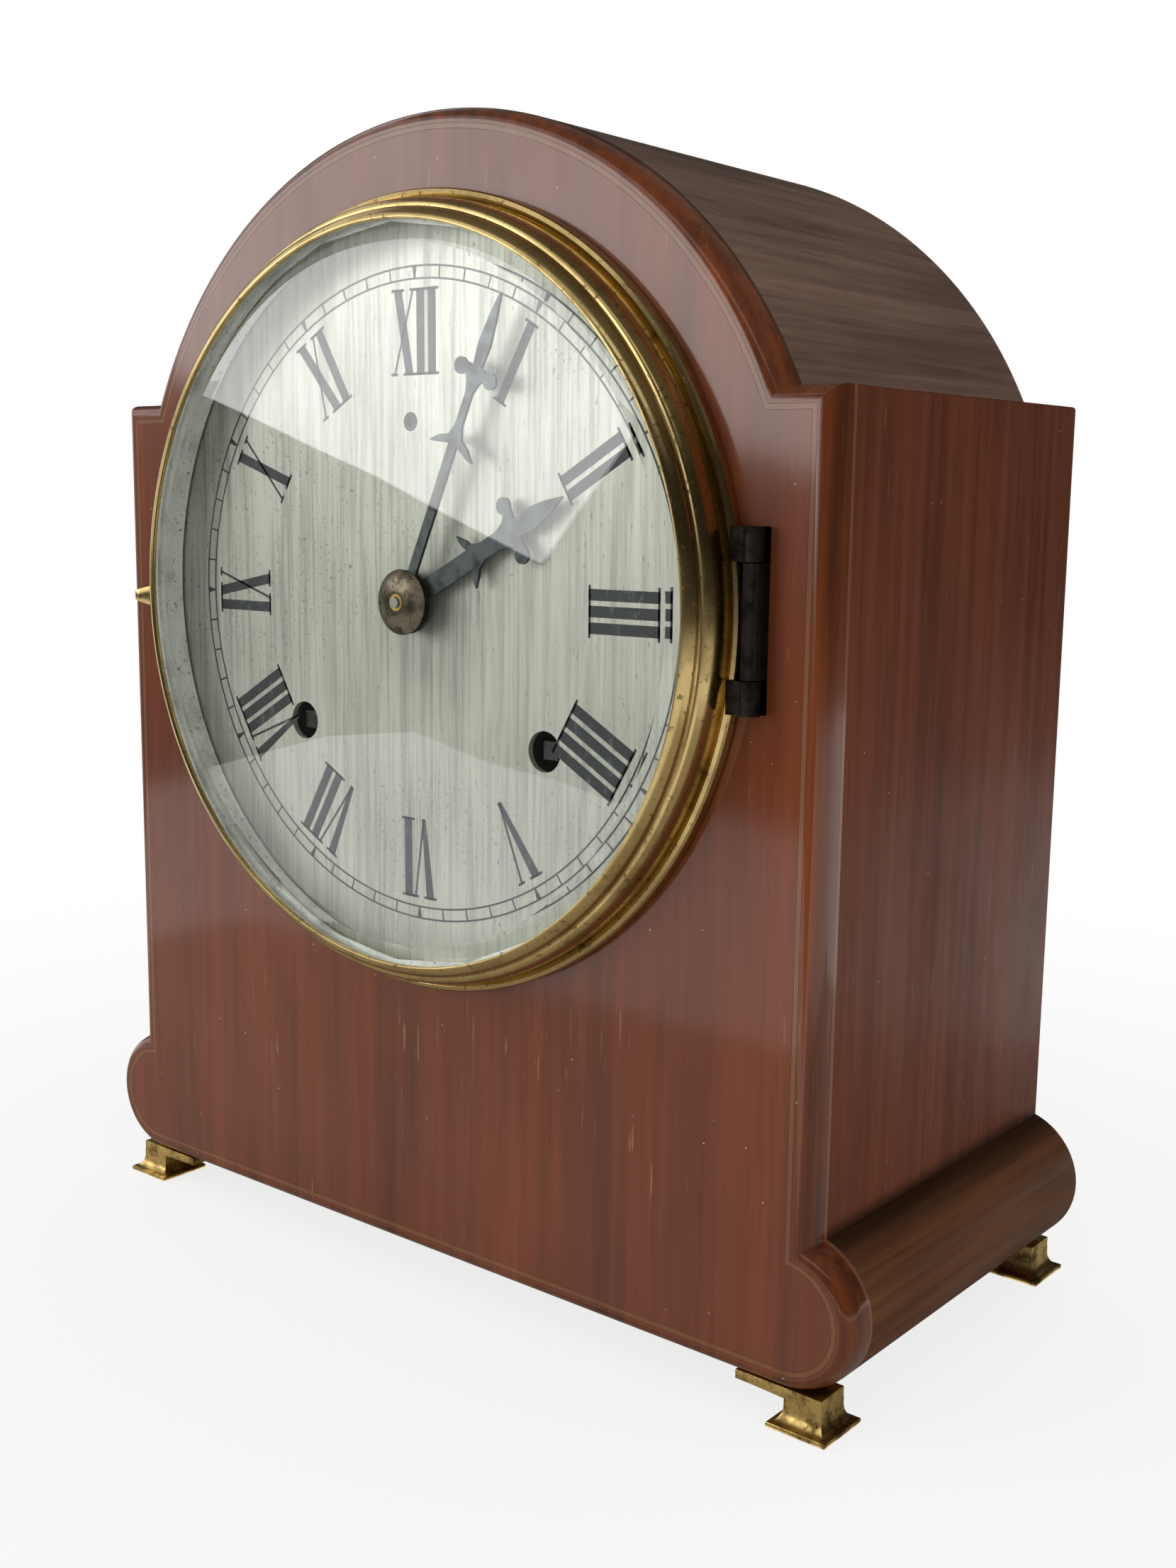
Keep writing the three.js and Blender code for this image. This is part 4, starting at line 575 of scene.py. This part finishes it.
def makeStringing():
    inFace = ("frontStringing", "front_stringing", case["string"], case["stringWide"], 0, case["inlay"])
    atEdge = ("edgeStringing", "edge_stringing", 0, case["inlay"],
              case["board"] - case["inlay"] + case["play"], case["board"])
    darkAbove = case["shoulder"] - 4  # over the arch the line at the edge is stained dark
    for name, replaced, inset, wide, y0, y1 in (inFace, atEdge):
        bm = bmesh.new()
        loops = [caseLoop(bm, away, y) for away, y in (
            (inset, y0), (inset + wide, y0), (inset + wide, y1), (inset, y1))]
        for first, second in zip(loops, loops[1:] + loops[:1]):
            bridge(bm, first, second)
        for face in bm.faces:
            height = (face.calc_center_median() - dialCentre).z * 1000
            face.material_index = 1 if name == "edgeStringing" and height > darkAbove else 0
        finishPiece(name, bm, "case", [wood["boxwood"], wood["stainedString"]], replaces=[replaced])


def makeRoof():
    bm = bmesh.new()
    start = math.asin((case["shoulder"] - case["archZ"]) / case["arch"])
    outer, inner, end = case["arch"], case["arch"] - case["roof"], case["depth"]
    edge, turn = case["backEdge"], case["edgeTurn"]
    radii = [(outer, case["board"]), (outer, end - edge), (outer - turn, end - turn), (outer - edge, end),
             (inner, end), (inner, case["board"])]
    wire = [vert(bm, r * math.cos(start), y, case["archZ"] + r * math.sin(start)) for r, y in radii]
    face = bm.faces.new(wire)
    bmesh.ops.spin(bm, geom=[face] + list(face.edges) + wire, cent=at(0, 0, case["archZ"]), axis=yAxis,
                   angle=-(math.pi - 2 * start), steps=case["steps"])
    bmesh.ops.bisect_plane(bm, geom=bm.verts[:] + bm.edges[:] + bm.faces[:], dist=1e-7,
                           plane_co=at(0, 0, case["shoulder"]), plane_no=(0, 0, -1), clear_outer=True)
    bmesh.ops.holes_fill(bm, edges=bm.edges, sides=0)
    finishPiece("roofShell", bm, "case", [wood["mahoganyRoof"]], sharp=32, replaces=["roof_shell"])


def makeSides():
    lobeTop = case["lobeZ"] + math.sqrt(case["lobe"] ** 2 - (case["half"] - case["lobeX"]) ** 2)
    lobeEnd = math.degrees(math.acos((case["half"] - case["lobeX"]) / case["lobe"]))
    shoulder, outside = at(0, 0, case["shoulder"]).z, (case["half"] - 2) / 1000
    for label, sign in (("left", -1), ("right", 1)):
        bm = bmesh.new()
        x0, x1 = sorted((sign * case["half"], sign * (case["half"] - case["side"])))
        block(bm, x0, x1, case["board"], case["depth"], lobeTop, case["shoulder"])
        seen = [e for e in bm.edges if all(abs(v.co.y - back) < near for v in e.verts)
                or all(abs(v.co.z - shoulder) < near and v.co.x * sign > outside for v in e.verts)]
        softenEdges(bm, seen, case["sideEdge"], 3)
        finishPiece("sidePanel" + label.title(), bm, "case", [wood["mahoganySide"]],
                    replaces=["side_panel_" + label])

        bm = bmesh.new()
        inner = case["half"] - case["side"] - case["mouldingIn"]
        foot = vert(bm, case["lobeX"], case["board"], case["bottom"])
        last = arcWire(bm, foot, at(case["lobeX"], case["board"], case["lobeZ"]), -90 - lobeEnd,
                       case["mouldingSteps"])
        low, high = (vert(bm, inner, case["board"], z) for z in (case["bottom"], lobeTop))
        for pair in ((last, high), (high, low), (low, foot)):
            bm.edges.new(pair)
        bmesh.ops.edgeloop_fill(bm, edges=bm.edges)
        extrudeFaces(bm, bm.faces[:], (0, case["depth"] - case["board"], 0))
        rim = [e for e in bm.edges if all(abs(v.co.y - back) < near for v in e.verts)]
        softenEdges(bm, rim, case["backEdge"], 3)
        if sign < 0:
            bmesh.ops.scale(bm, vec=(-1, 1, 1), verts=bm.verts)
        finishPiece("baseMoulding" + label.title(), bm, "case", [wood["mahoganyTorus"]],
                    replaces=["base_moulding_" + label])


makeFrontBoard()
makeStringing()
makeRoof()
makeSides()
print("case made")

# A foot: a square base that sweeps in to a neck under a flat pad. Plinth and sweep are shares of the height.
footLook = {"height": 8.8, "base": 14.8, "neck": 9.3, "pad": 22, "thick": 2.2, "proud": 4, "plinth": 0.11,
            "sweepLow": 0.13, "sweep": 0.4, "sweepWide": 0.96, "steps": 8, "edge": 0.25,
            "frontY": 6.6, "backY": 107.4}


def growFace(bm, faces, shift, scale=1.0, middle=(0, 0)):
    # draws faces out by a distance in metres and returns them; scale widens them about a line up z
    geometry = list({g for f in faces for g in [f, *f.edges, *f.verts]})
    made = bmesh.ops.extrude_face_region(bm, geom=geometry)["geom"]
    moved = [g for g in made if isinstance(g, bmesh.types.BMVert)]
    bmesh.ops.translate(bm, verts=moved, vec=shift)
    for v in moved:
        v.co.x, v.co.y = middle[0] + (v.co.x - middle[0]) * scale, middle[1] + (v.co.y - middle[1]) * scale
    return [g for g in made if isinstance(g, bmesh.types.BMFace)]


def makeFoot(name, replaced, sign, middleY):
    bm = bmesh.new()
    x = case["half"] + footLook["proud"] - footLook["neck"] / 2
    floor = case["bottom"] - footLook["height"]
    neck, spread, height = footLook["neck"], footLook["base"] - footLook["neck"], footLook["height"]
    levels = [(footLook["base"], footLook["plinth"])]
    levels += [(neck + spread * (1 - math.sin(turn)) * footLook["sweepWide"],
                footLook["sweepLow"] + footLook["sweep"] * (1 - math.cos(turn)))
               for turn in quarterTurn(footLook["steps"])]
    levels += [(neck, 1 - footLook["thick"] / height), (neck, 1)]
    centre = at(x, middleY, floor)
    bottom = bmesh.ops.create_grid(bm, x_segments=1, y_segments=1, size=footLook["base"] / 2000)
    bmesh.ops.translate(bm, verts=bottom["verts"], vec=centre)
    top = growFace(bm, bm.faces[:], (0, 0, 0))
    lastWidth, lastUp = footLook["base"], 0
    for width, up in levels:
        top = growFace(bm, top, (0, 0, (up - lastUp) * height / 1000), width / lastWidth, centre)
        lastWidth, lastUp = width, up
    padLow = at(0, 0, case["bottom"] - footLook["thick"]).z
    inward = [f for f in bm.faces if f.calc_center_median().z > padLow
              and f.calc_center_median().x < at(x - neck * 0.49, 0, 0).x]
    growFace(bm, inward, (-(footLook["pad"] - neck) / 1000, 0, 0))
    bmesh.ops.remove_doubles(bm, verts=bm.verts, dist=near)
    bmesh.ops.recalc_face_normals(bm, faces=bm.faces)
    low = at(0, 0, floor).z
    sharp = [e for e in bm.edges if e.calc_face_angle(0) > math.radians(60)
             and all(v.co.z > padLow - 1e-5 or v.co.z < low + 1e-5 for v in e.verts)]
    softenEdges(bm, sharp, footLook["edge"])
    if sign < 0:
        bmesh.ops.scale(bm, vec=(-1, 1, 1), verts=bm.verts)
    finishPiece(name, bm, "case", [metal["brassFeet"]], replaces=[replaced])


for end, y in (("front", footLook["frontY"]), ("back", footLook["backY"])):
    for label, sign in (("left", -1), ("right", 1)):
        makeFoot(end + "Foot" + label.title(), f"foot_{end}_{label}", sign, y)
print("feet made")

# The bezel's section, as (radius, y): a flange with rolled edges, a round rising from the ledge, a thin lip.
bezel = {"glass": 86, "flange": 92.5, "thick": 3.2, "seat": -0.3, "ledge": (88.25, -4.75), "roundWide": 1.9,
         "roundDeep": 5.05, "roundSteps": 10, "steps": 192, "glassFront": -11.54, "glassThick": 3.1,
         "bevelWide": 5.8, "bevelDrop": 1.5, "inner": 86.3, "wall": 86.45, "wallFront": -11.7,
         "lip": [(87.75, -9.85), (87.48, -10.15), (87.4, -10.6), (87.32, -11.15), (87.05, -11.7),
                 (86.6, -12.25), (86.0, -12.72), (85.45, -12.97), (85.05, -13.0), (84.75, -12.8),
                 (84.65, -12.3), (84.8, -11.6), (86.3, -11.6)]}
# Knuckles of its hinge at three o'clock, and the thumb piece at nine, a leaf that curls forward to its tip.
knuckle = {"x": 95.2, "y": -2.7, "radius": 2.2, "plateIn": 2.4, "plate": (-4.0, -0.7),
           "spans": ((-18.4, -11.4), (12.5, 19.5))}
thumb = {"long": 9.4, "root": 1.5, "low": -6.0, "high": 0.0, "drawn": 7.5, "tipShare": 0.35, "edge": 0.35}


def makeThumbPiece(bm):
    root, tip = -(bezel["flange"] - thumb["root"]), -(bezel["flange"] + thumb["long"])
    y = bezel["seat"] - bezel["thick"] / 2
    section = [(root, y + 1.1), (tip + 5, y + 0.3), (tip + 1.4, y - 1.9), (tip, y - 3.2),
               (tip + 0.6, y - 4.2), (tip + 2.2, y - 3.9), (tip + 5.6, y - 1.9), (root, y - 1.2)]
    face = bm.faces.new([vert(bm, px, py, thumb["low"]) for px, py in section])
    leaf = extrudeFaces(bm, [face], (0, 0, thumb["high"] - thumb["low"])) + list(face.verts)
    middle = at(0, 0, (thumb["low"] + thumb["high"]) / 2).z
    for v in leaf:  # drawn in towards the tip
        along = min(1, max(0, (v.co.x - at(tip, 0, 0).x) / (thumb["drawn"] / 1000)))
        share = thumb["tipShare"] + (1 - thumb["tipShare"]) * math.sin(along * math.pi / 2)
        v.co.z = middle + (v.co.z - middle) * share
    sharp = [e for e in bm.edges if e.verts[0] in leaf and e.verts[1] in leaf and e.calc_face_angle(0) > 0.5]
    softenEdges(bm, sharp, thumb["edge"])


def makeBezel():
    bm = bmesh.new()
    flange, seat = bezel["flange"], bezel["seat"]
    face = seat - bezel["thick"]
    ledge, rootY = bezel["ledge"]
    profile = [(bezel["inner"], seat), (flange - 0.3, seat), (flange, seat - 0.3), (flange, face + 0.9),
               (flange - 0.35, face + 0.3), (flange - 1.2, face), (flange - 2.0, face + 0.25),
               (flange - 2.3, face + 0.55)]
    profile += [(ledge + bezel["roundWide"] * math.sin(turn), rootY - bezel["roundDeep"] * math.cos(turn))
                for turn in reversed(quarterTurn(bezel["roundSteps"]))]
    spinProfile(bm, profile + bezel["lip"], bezel["steps"], closed=True)
    radius = knuckle["radius"] / 1000
    for z0, z1 in knuckle["spans"]:
        made = bmesh.ops.create_cone(bm, cap_ends=True, segments=32, radius1=radius, radius2=radius,
                                     depth=(z1 - z0) / 1000)
        bmesh.ops.translate(bm, verts=made["verts"], vec=at(knuckle["x"], knuckle["y"], (z0 + z1) / 2))
        iron = made["verts"] + block(bm, flange - knuckle["plateIn"], knuckle["x"], *knuckle["plate"], z0, z1)
        for part in {f for v in iron for f in v.link_faces}:
            part.material_index = 1
    makeThumbPiece(bm)
    for part in bm.faces:  # the wall beside the glass is grey brass painted near white, painted light for the sky mirrored in the bevel and to lift its shade
        middle = part.calc_center_median() - dialCentre
        if math.hypot(middle.x, middle.z) < bezel["wall"] / 1000 and middle.y > bezel["wallFront"] / 1000:
            part.material_index = 2
    finishPiece("bezelRing", bm, "bezel", [metal["brassOld"], metal["blackIron"], metal["greyBrassPaintedLight"]],
                sharp=30, replaces=["bezel_ring"])


def makeBezelGlass():
    bm = bmesh.new()
    flat = bezel["glass"] - bezel["bevelWide"]
    y0, y1 = bezel["glassFront"], bezel["glassFront"] + bezel["glassThick"]
    spinProfile(bm, [(0, y0), (flat, y0), (bezel["glass"], y0 + bezel["bevelDrop"]), (bezel["glass"], y1),
                     (0, y1)], bezel["steps"])
    made = finishPiece("bezelGlass", bm, "bezel", [glass], sharp=8, replaces=["bezel_glass"])
    made.visible_shadow = False  # lets the lamps light the dial through it


makeBezel()
makeBezelGlass()
print("bezel made")

# The dial: plate, its holes as (radius, x, z, steps), its feet, the minute ring with its marks as (width at
# the inside, width at the outside), and the numerals with their thick and hair strokes.
regulatorAt = (-2, 41.3)
dial = {"radius": 88.2, "front": 0.2, "thick": 1.5, "steps": 144,
        "holes": [(3.35, 0, 0, 32), (4.7, -39.5, -31.6, 40), (4.7, 39.5, -31.6, 40), (2.2, *regulatorAt, 24)],
        "pillars": [(-50, 34), (50, 34), (-14, -38), (14, -38)], "pillar": 2, "pillarLong": 14.7,
        "pillarY": 8.6, "ringOut": 76, "ringIn": 73.2, "line": 0.45, "ringSteps": 180,
        "fiveMark": (0.5, 1.5), "minuteMark": (0.42, 0.42), "top": 71.1, "foot": 51.7, "stroke": 2.5,
        "pitch": 3.6, "hair": 0.62, "wide": 6.2, "gap": 0.9, "serif": 0.8, "vLean": 0.2, "vStroke": 0.5,
        "turn": -0.4, "inkProud": 0.03}
numerals = ["XII", "I", "II", "III", "IIII", "V", "VI", "VII", "VIII", "IX", "X", "XI"]


def makeDial():
    bm = bmesh.new()
    y0, y1 = dial["front"], dial["front"] + dial["thick"]
    rims = []
    for y in (y0, y1):
        rims.append([circleLoop(bm, dial["radius"], y, dial["steps"])])
        rims[-1] += [circleLoop(bm, radius, y, steps, x, z) for radius, x, z, steps in dial["holes"]]
        fillBetween(bm, *rims[-1])
    for first, second in zip(*rims):
        bridge(bm, first, second)
    radius = dial["pillar"] / 1000
    for x, z in dial["pillars"]:
        made = bmesh.ops.create_cone(bm, cap_ends=True, segments=20, radius1=radius, radius2=radius,
                                     depth=dial["pillarLong"] / 1000)
        bmesh.ops.rotate(bm, verts=made["verts"], cent=(0, 0, 0), matrix=Matrix.Rotation(math.pi / 2, 3, "X"))
        bmesh.ops.translate(bm, verts=made["verts"], vec=at(x, dial["pillarY"], z))
    finishPiece("dialPlate", bm, "case", [silvered], replaces=["dial_plate"])


def inkBar(bm, x0, z0, x1, z1, width, widthEnd=None):
    # a flat stroke of ink from one point to another, with ends cut level
    y = dial["front"] - dial["inkProud"]
    a, b = width / 2, (width if widthEnd is None else widthEnd) / 2
    if abs(z1 - z0) < near:
        corners = [(x0, y, z0 - a), (x1, y, z1 - b), (x1, y, z1 + b), (x0, y, z0 + a)]
    else:
        corners = [(x0 - a, y, z0), (x0 + a, y, z0), (x1 + b, y, z1), (x1 - b, y, z1)]
    face = bm.faces.new([vert(bm, *corner) for corner in corners])
    return list(face.verts) + extrudeFaces(bm, [face], (0, dial["inkProud"] * 0.9, 0))


def drawNumeral(bm, text):
    top, foot, hair, stroke = dial["top"], dial["foot"], dial["hair"], dial["stroke"]
    letters = {"I": dial["pitch"], "V": dial["wide"] + dial["gap"], "X": dial["wide"] + dial["gap"]}
    total = sum(letters[c] for c in text)
    verts, x, index = [], -total / 2, 0
    while index < len(text):
        letter = text[index]
        wide = letters[letter]
        middle, half = x + wide / 2, dial["wide"] / 2
        if letter == "I":
            run = len(text[index:]) - len(text[index:].lstrip("I"))
            for i in range(run):
                verts += inkBar(bm, middle + i * wide, foot, middle + i * wide, top, stroke)
            reach = stroke / 2 + dial["gap"]
            for z in (foot + hair / 2, top - hair / 2):
                verts += inkBar(bm, middle - reach, z, middle + (run - 1) * wide + reach, z, hair)
            index, x = index + run, x + wide * run
            continue
        lean = half - stroke / 2
        thickFoot, hairFoot, width = (lean, -half, stroke) if letter == "X" else (
            dial["vLean"], dial["vLean"], stroke * dial["vStroke"])
        verts += inkBar(bm, middle + thickFoot, foot, middle - lean, top, width, stroke)
        verts += inkBar(bm, middle + hairFoot, foot, middle + half, top, hair)
        ends = [(middle - lean, top, stroke), (middle + half, top, hair)]
        if letter == "X":
            ends += [(middle + lean, foot, stroke), (middle - half, foot, hair)]
        for px, z, width in ends:
            level = z - hair / 2 if z == top else z + hair / 2
            reach = width / 2 + dial["serif"]
            verts += inkBar(bm, px - reach, level, px + reach, level, hair)
        index, x = index + 1, x + wide
    return verts


def makeMarks():
    bm = bmesh.new()
    for hour, text in enumerate(numerals):
        verts = drawNumeral(bm, text)
        bmesh.ops.rotate(bm, verts=verts, cent=dialCentre,
                         matrix=Matrix.Rotation(math.radians(hour * 30 + dial["turn"]), 3, "Y"))
    finishPiece("dialNumerals", bm, "case", [blackWax])
    bm = bmesh.new()
    y0, y1, half = dial["front"] - dial["inkProud"], dial["front"] - 0.002, dial["line"] / 2
    for radius in (dial["ringOut"], dial["ringIn"]):
        loops = [circleLoop(bm, r, y, dial["ringSteps"]) for r, y in (
            (radius - half, y0), (radius + half, y0), (radius + half, y1), (radius - half, y1))]
        for first, second in zip(loops, loops[1:] + loops[:1]):
            bridge(bm, first, second)
    for minute in range(60):
        mark = dial["minuteMark"] if minute % 5 else dial["fiveMark"]
        verts = inkBar(bm, 0, dial["ringIn"] + 0.1, 0, dial["ringOut"] - 0.1, *mark)
        bmesh.ops.rotate(bm, verts=verts, cent=dialCentre,
                         matrix=Matrix.Rotation(math.radians(minute * 6 + dial["turn"]), 3, "Y"))
    finishPiece("minuteRing", bm, "case", [blackWax])


makeDial()
makeMarks()
print("dial made")

# The domed collet that holds the hands and, in the dial's upper hole, the disc round the regulator's square.
collet = {"profile": [(1.2, -4.86), (7.3, -4.86), (7.6, -5.1), (7.3, -5.42), (6.4, -5.9), (5.0, -6.34),
                      (3.4, -6.62), (1.9, -6.75), (1.2, -6.65)], "steps": 64}
regulator = {"profile": [(1.25, 0.75), (1.25, 0.3), (1.85, 0.3), (2.0, 0.42), (2.0, 0.75)], "steps": 32}


def makeCollet():
    bm = bmesh.new()
    spinProfile(bm, collet["profile"], collet["steps"], closed=True)
    finishPiece("handCollet", bm, "minute_arbor", [metal["darkBronze"]], sharp=50, replaces=["hand_collet"])
    bm = bmesh.new()
    spinProfile(bm, regulator["profile"], regulator["steps"], centre=regulatorAt, closed=True)
    finishPiece("regulatorDisc", bm, "regulator", [metal["darkSteel"]])


makeCollet()
print("collet made")

# The frame's own nodes that keep their shape, by finish.
finishes = {
    "innerWood": ["shoulder_rail_left", "shoulder_rail_right", "base_board"],
    "mahoganyBack": ["back_board", "back_door"],
    "brassOld": ["door_hinge_case_leaf_upper", "door_hinge_case_leaf_lower", "door_hinge_door_leaf_upper",
                 "door_hinge_door_leaf_lower", "door_knob"],
    # the retainer carries the same near-white painted light
    "greyBrassPaintedLight": ["glass_retainer"],
    "darkSteel": ["going_winding_arbor", "strike_winding_arbor", "regulator_arbor"],
    "blackIron": ["bezel_hinge_plate", "bezel_hinge_pin", "gong_stand"],
    "bluedSteel": ["minute_hand", "hour_hand", "gong"],
    "brassMovement": ["front_plate", "back_plate", "cannon_pinion", "minute_wheel", "hour_wheel",
                      "going_barrel", "strike_barrel", "suspension_cock", "pendulum_bob", "pendulum_nut",
                      "centre_wheel", "intermediate_wheel", "third_wheel", "escape_wheel", "pin_wheel"],
    "plainSteel": ["movement_strap_upper", "movement_strap_lower", "centre_arbor", "pendulum_rod",
                   "door_hinge_pin_upper", "door_hinge_pin_lower", "pallets", "fly", "hammer"],
}
allFinishes = {**wood, **metal}
for finish, names in finishes.items():
    for name in names:
        slots = cadNodes[name].data.materials
        slots.clear()
        slots.append(allFinishes[finish])
print("finishes given to the frame's own nodes")

# World and floor. Close to the clock the floor keeps its shadow, and it fades to white further off.
light = {"world": 0.66, "floor": "f4f4f2", "floorHalf": 6, "drop": 0.0002, "fade": (0.1, 0.5), "close": 0.8}
# Plain soft lamps. Only the first shows in glass and polish.
window = {"place": (-1.15, -1.19, 0.43), "target": (0, 0, 0.15), "size": (1.25, 0.8)}
lamps = {
    "windowLight": {**window, "power": 7.2, "mirrored": True},
    "windowGlow": {**window, "power": 5.4, "mirrored": False},
    "fillLight": {"place": (1.3, -0.5, 0.9), "target": (0, 0, 0.12), "size": (0.9, 0.9), "power": 2.0,
                  "mirrored": False},
}
# The low screen that the glass and the polish mirror, from its left end to its right: where it stands on
# the floor and where its upper edge is, in metres.
lowScreen = [((-0.64, -0.30, 0), (-1.02, -0.45, 0.40)), ((-0.66, -0.47, 0), (-0.90, -0.57, 0.32)),
             ((-0.702, -0.58, 0), (-0.802, -0.656, 0.264)), ((-0.756, -0.733, 0), (-0.775, -0.671, 0.251)),
             ((-0.724, -0.796, 0), (-0.729, -0.697, 0.227)), ((-0.65, -0.76, 0), (-0.686, -0.721, 0.206)),
             ((-0.566, -0.717, 0), (-0.638, -0.747, 0.178)), ((-0.482, -0.691, 0), (-0.572, -0.78, 0.143)),
             ((-0.403, -0.653, 0), (-0.512, -0.811, 0.238)), ((-0.362, -0.641, 0), (-0.43, -0.85, 0.225)),
             ((-0.25, -0.62, 0), (-0.36, -0.88, 0.2)), ((-0.1, -0.6, 0), (-0.1, -0.95, 0.16))]
# The dim room round the clock, as a part of a cylinder in metres and degrees, and its ceiling.
room = {"radius": 1.3, "high": 1.1, "from": -14, "to": 271, "every": 12, "colour": "2c2926"}
ceiling = {"x": (-0.9, 1.4), "y": (-0.7, 1.4), "colour": "6f6a64"}
# A grey mat just over the floor dims what the polished sides mirror of it.
mat = {"x": (-0.33, 0.4), "y": (-0.27, 0.25), "z": 0.0005, "colour": "bdb9b1"}


def seenStraight(tree):
    # 1 for the camera, for mirrors and through glass, 0 for light that falls on things
    path = tree.nodes.new("ShaderNodeLightPath")
    seen = calc(tree, "MAXIMUM", path.outputs["Is Camera Ray"], path.outputs["Is Transmission Ray"])
    return calc(tree, "MAXIMUM", seen, path.outputs["Is Glossy Ray"])


def makeStage():
    bm = bmesh.new()
    bmesh.ops.create_grid(bm, x_segments=1, y_segments=1, size=light["floorHalf"])
    material, tree, shader = newMaterial("paleFloor", hexColour(light["floor"]), Roughness=0.9)
    away = node(tree, "VectorMath", [(0, objectVector(tree))], operation="LENGTH")
    far = ramp(tree, away.outputs["Value"], *light["fade"])
    share = calc(tree, "ADD", light["close"], times(tree, far, 1 - light["close"]))
    white = node(tree, "Emission", Color=(1, 1, 1, 1), Strength=1.0)
    blend = node(tree, "MixShader", [(0, times(tree, seenStraight(tree), share)), (1, shader.outputs[0]),
                                     (2, white.outputs[0])])
    tree.links.new(blend.outputs[0], tree.nodes["Material Output"].inputs["Surface"])
    floor = newObject("floor", bm, [material])
    floor.location.z = -light["drop"]


def makeWorld():
    world = bpy.data.worlds.new("studio")
    bpy.context.scene.world = world
    world.use_nodes = True
    tree = world.node_tree
    backdrop = tree.nodes["Background"]
    backdrop.inputs["Color"].default_value = (1, 1, 1, 1)
    strength = calc(tree, "ADD", light["world"],
                    times(tree, seenStraight(tree), 1 - light["world"]))
    tree.links.new(strength, backdrop.inputs["Strength"])


def makeLamp(name, look):
    data = bpy.data.lights.new(name, "AREA")
    data.shape, data.energy = "RECTANGLE", look["power"]
    data.size, data.size_y = look["size"]
    lamp = bpy.data.objects.new(name, data)
    bpy.context.collection.objects.link(lamp)
    lamp.location = look["place"]
    lamp.rotation_euler = (Vector(look["target"]) - lamp.location).to_track_quat("-Z", "Y").to_euler()
    lamp.visible_glossy = look["mirrored"]


def makeScreen(name, places, colour, throughGlass=False):
    # a dim studio screen that only reflections show
    bm = bmesh.new()
    edges = [[bm.verts.new(place[i]) for place in places] for i in (0, 1)]
    wires = [bm.edges.new(pair) for line in edges for pair in zip(line, line[1:])]
    bmesh.ops.bridge_loops(bm, edges=wires)
    screen = newObject(name, bm, [newMaterial(name, hexColour(colour), Roughness=0.9)[0]])
    screen.visible_camera = screen.visible_diffuse = screen.visible_shadow = False
    screen.visible_transmission = throughGlass  # the back of a pane mirrors it too


makeStage()
makeWorld()
for name, look in lamps.items():
    makeLamp(name, look)
makeScreen("lowScreen", lowScreen, "3c3d38", throughGlass=True)
around = [math.radians(turn) for turn in range(room["from"], room["to"], room["every"])]
around = [(room["radius"] * math.sin(turn), -room["radius"] * math.cos(turn)) for turn in around]
makeScreen("darkRoom", [((x, y, 0), (x, y, room["high"])) for x, y in around], room["colour"])
for name, look, z in (("greyMat", mat, mat["z"]), ("darkCeiling", ceiling, room["high"])):
    makeScreen(name, [[(x, y, z) for x in look["x"]] for y in look["y"]], look["colour"])
bpy.context.scene.view_settings.view_transform = "Standard"

print("stage made")
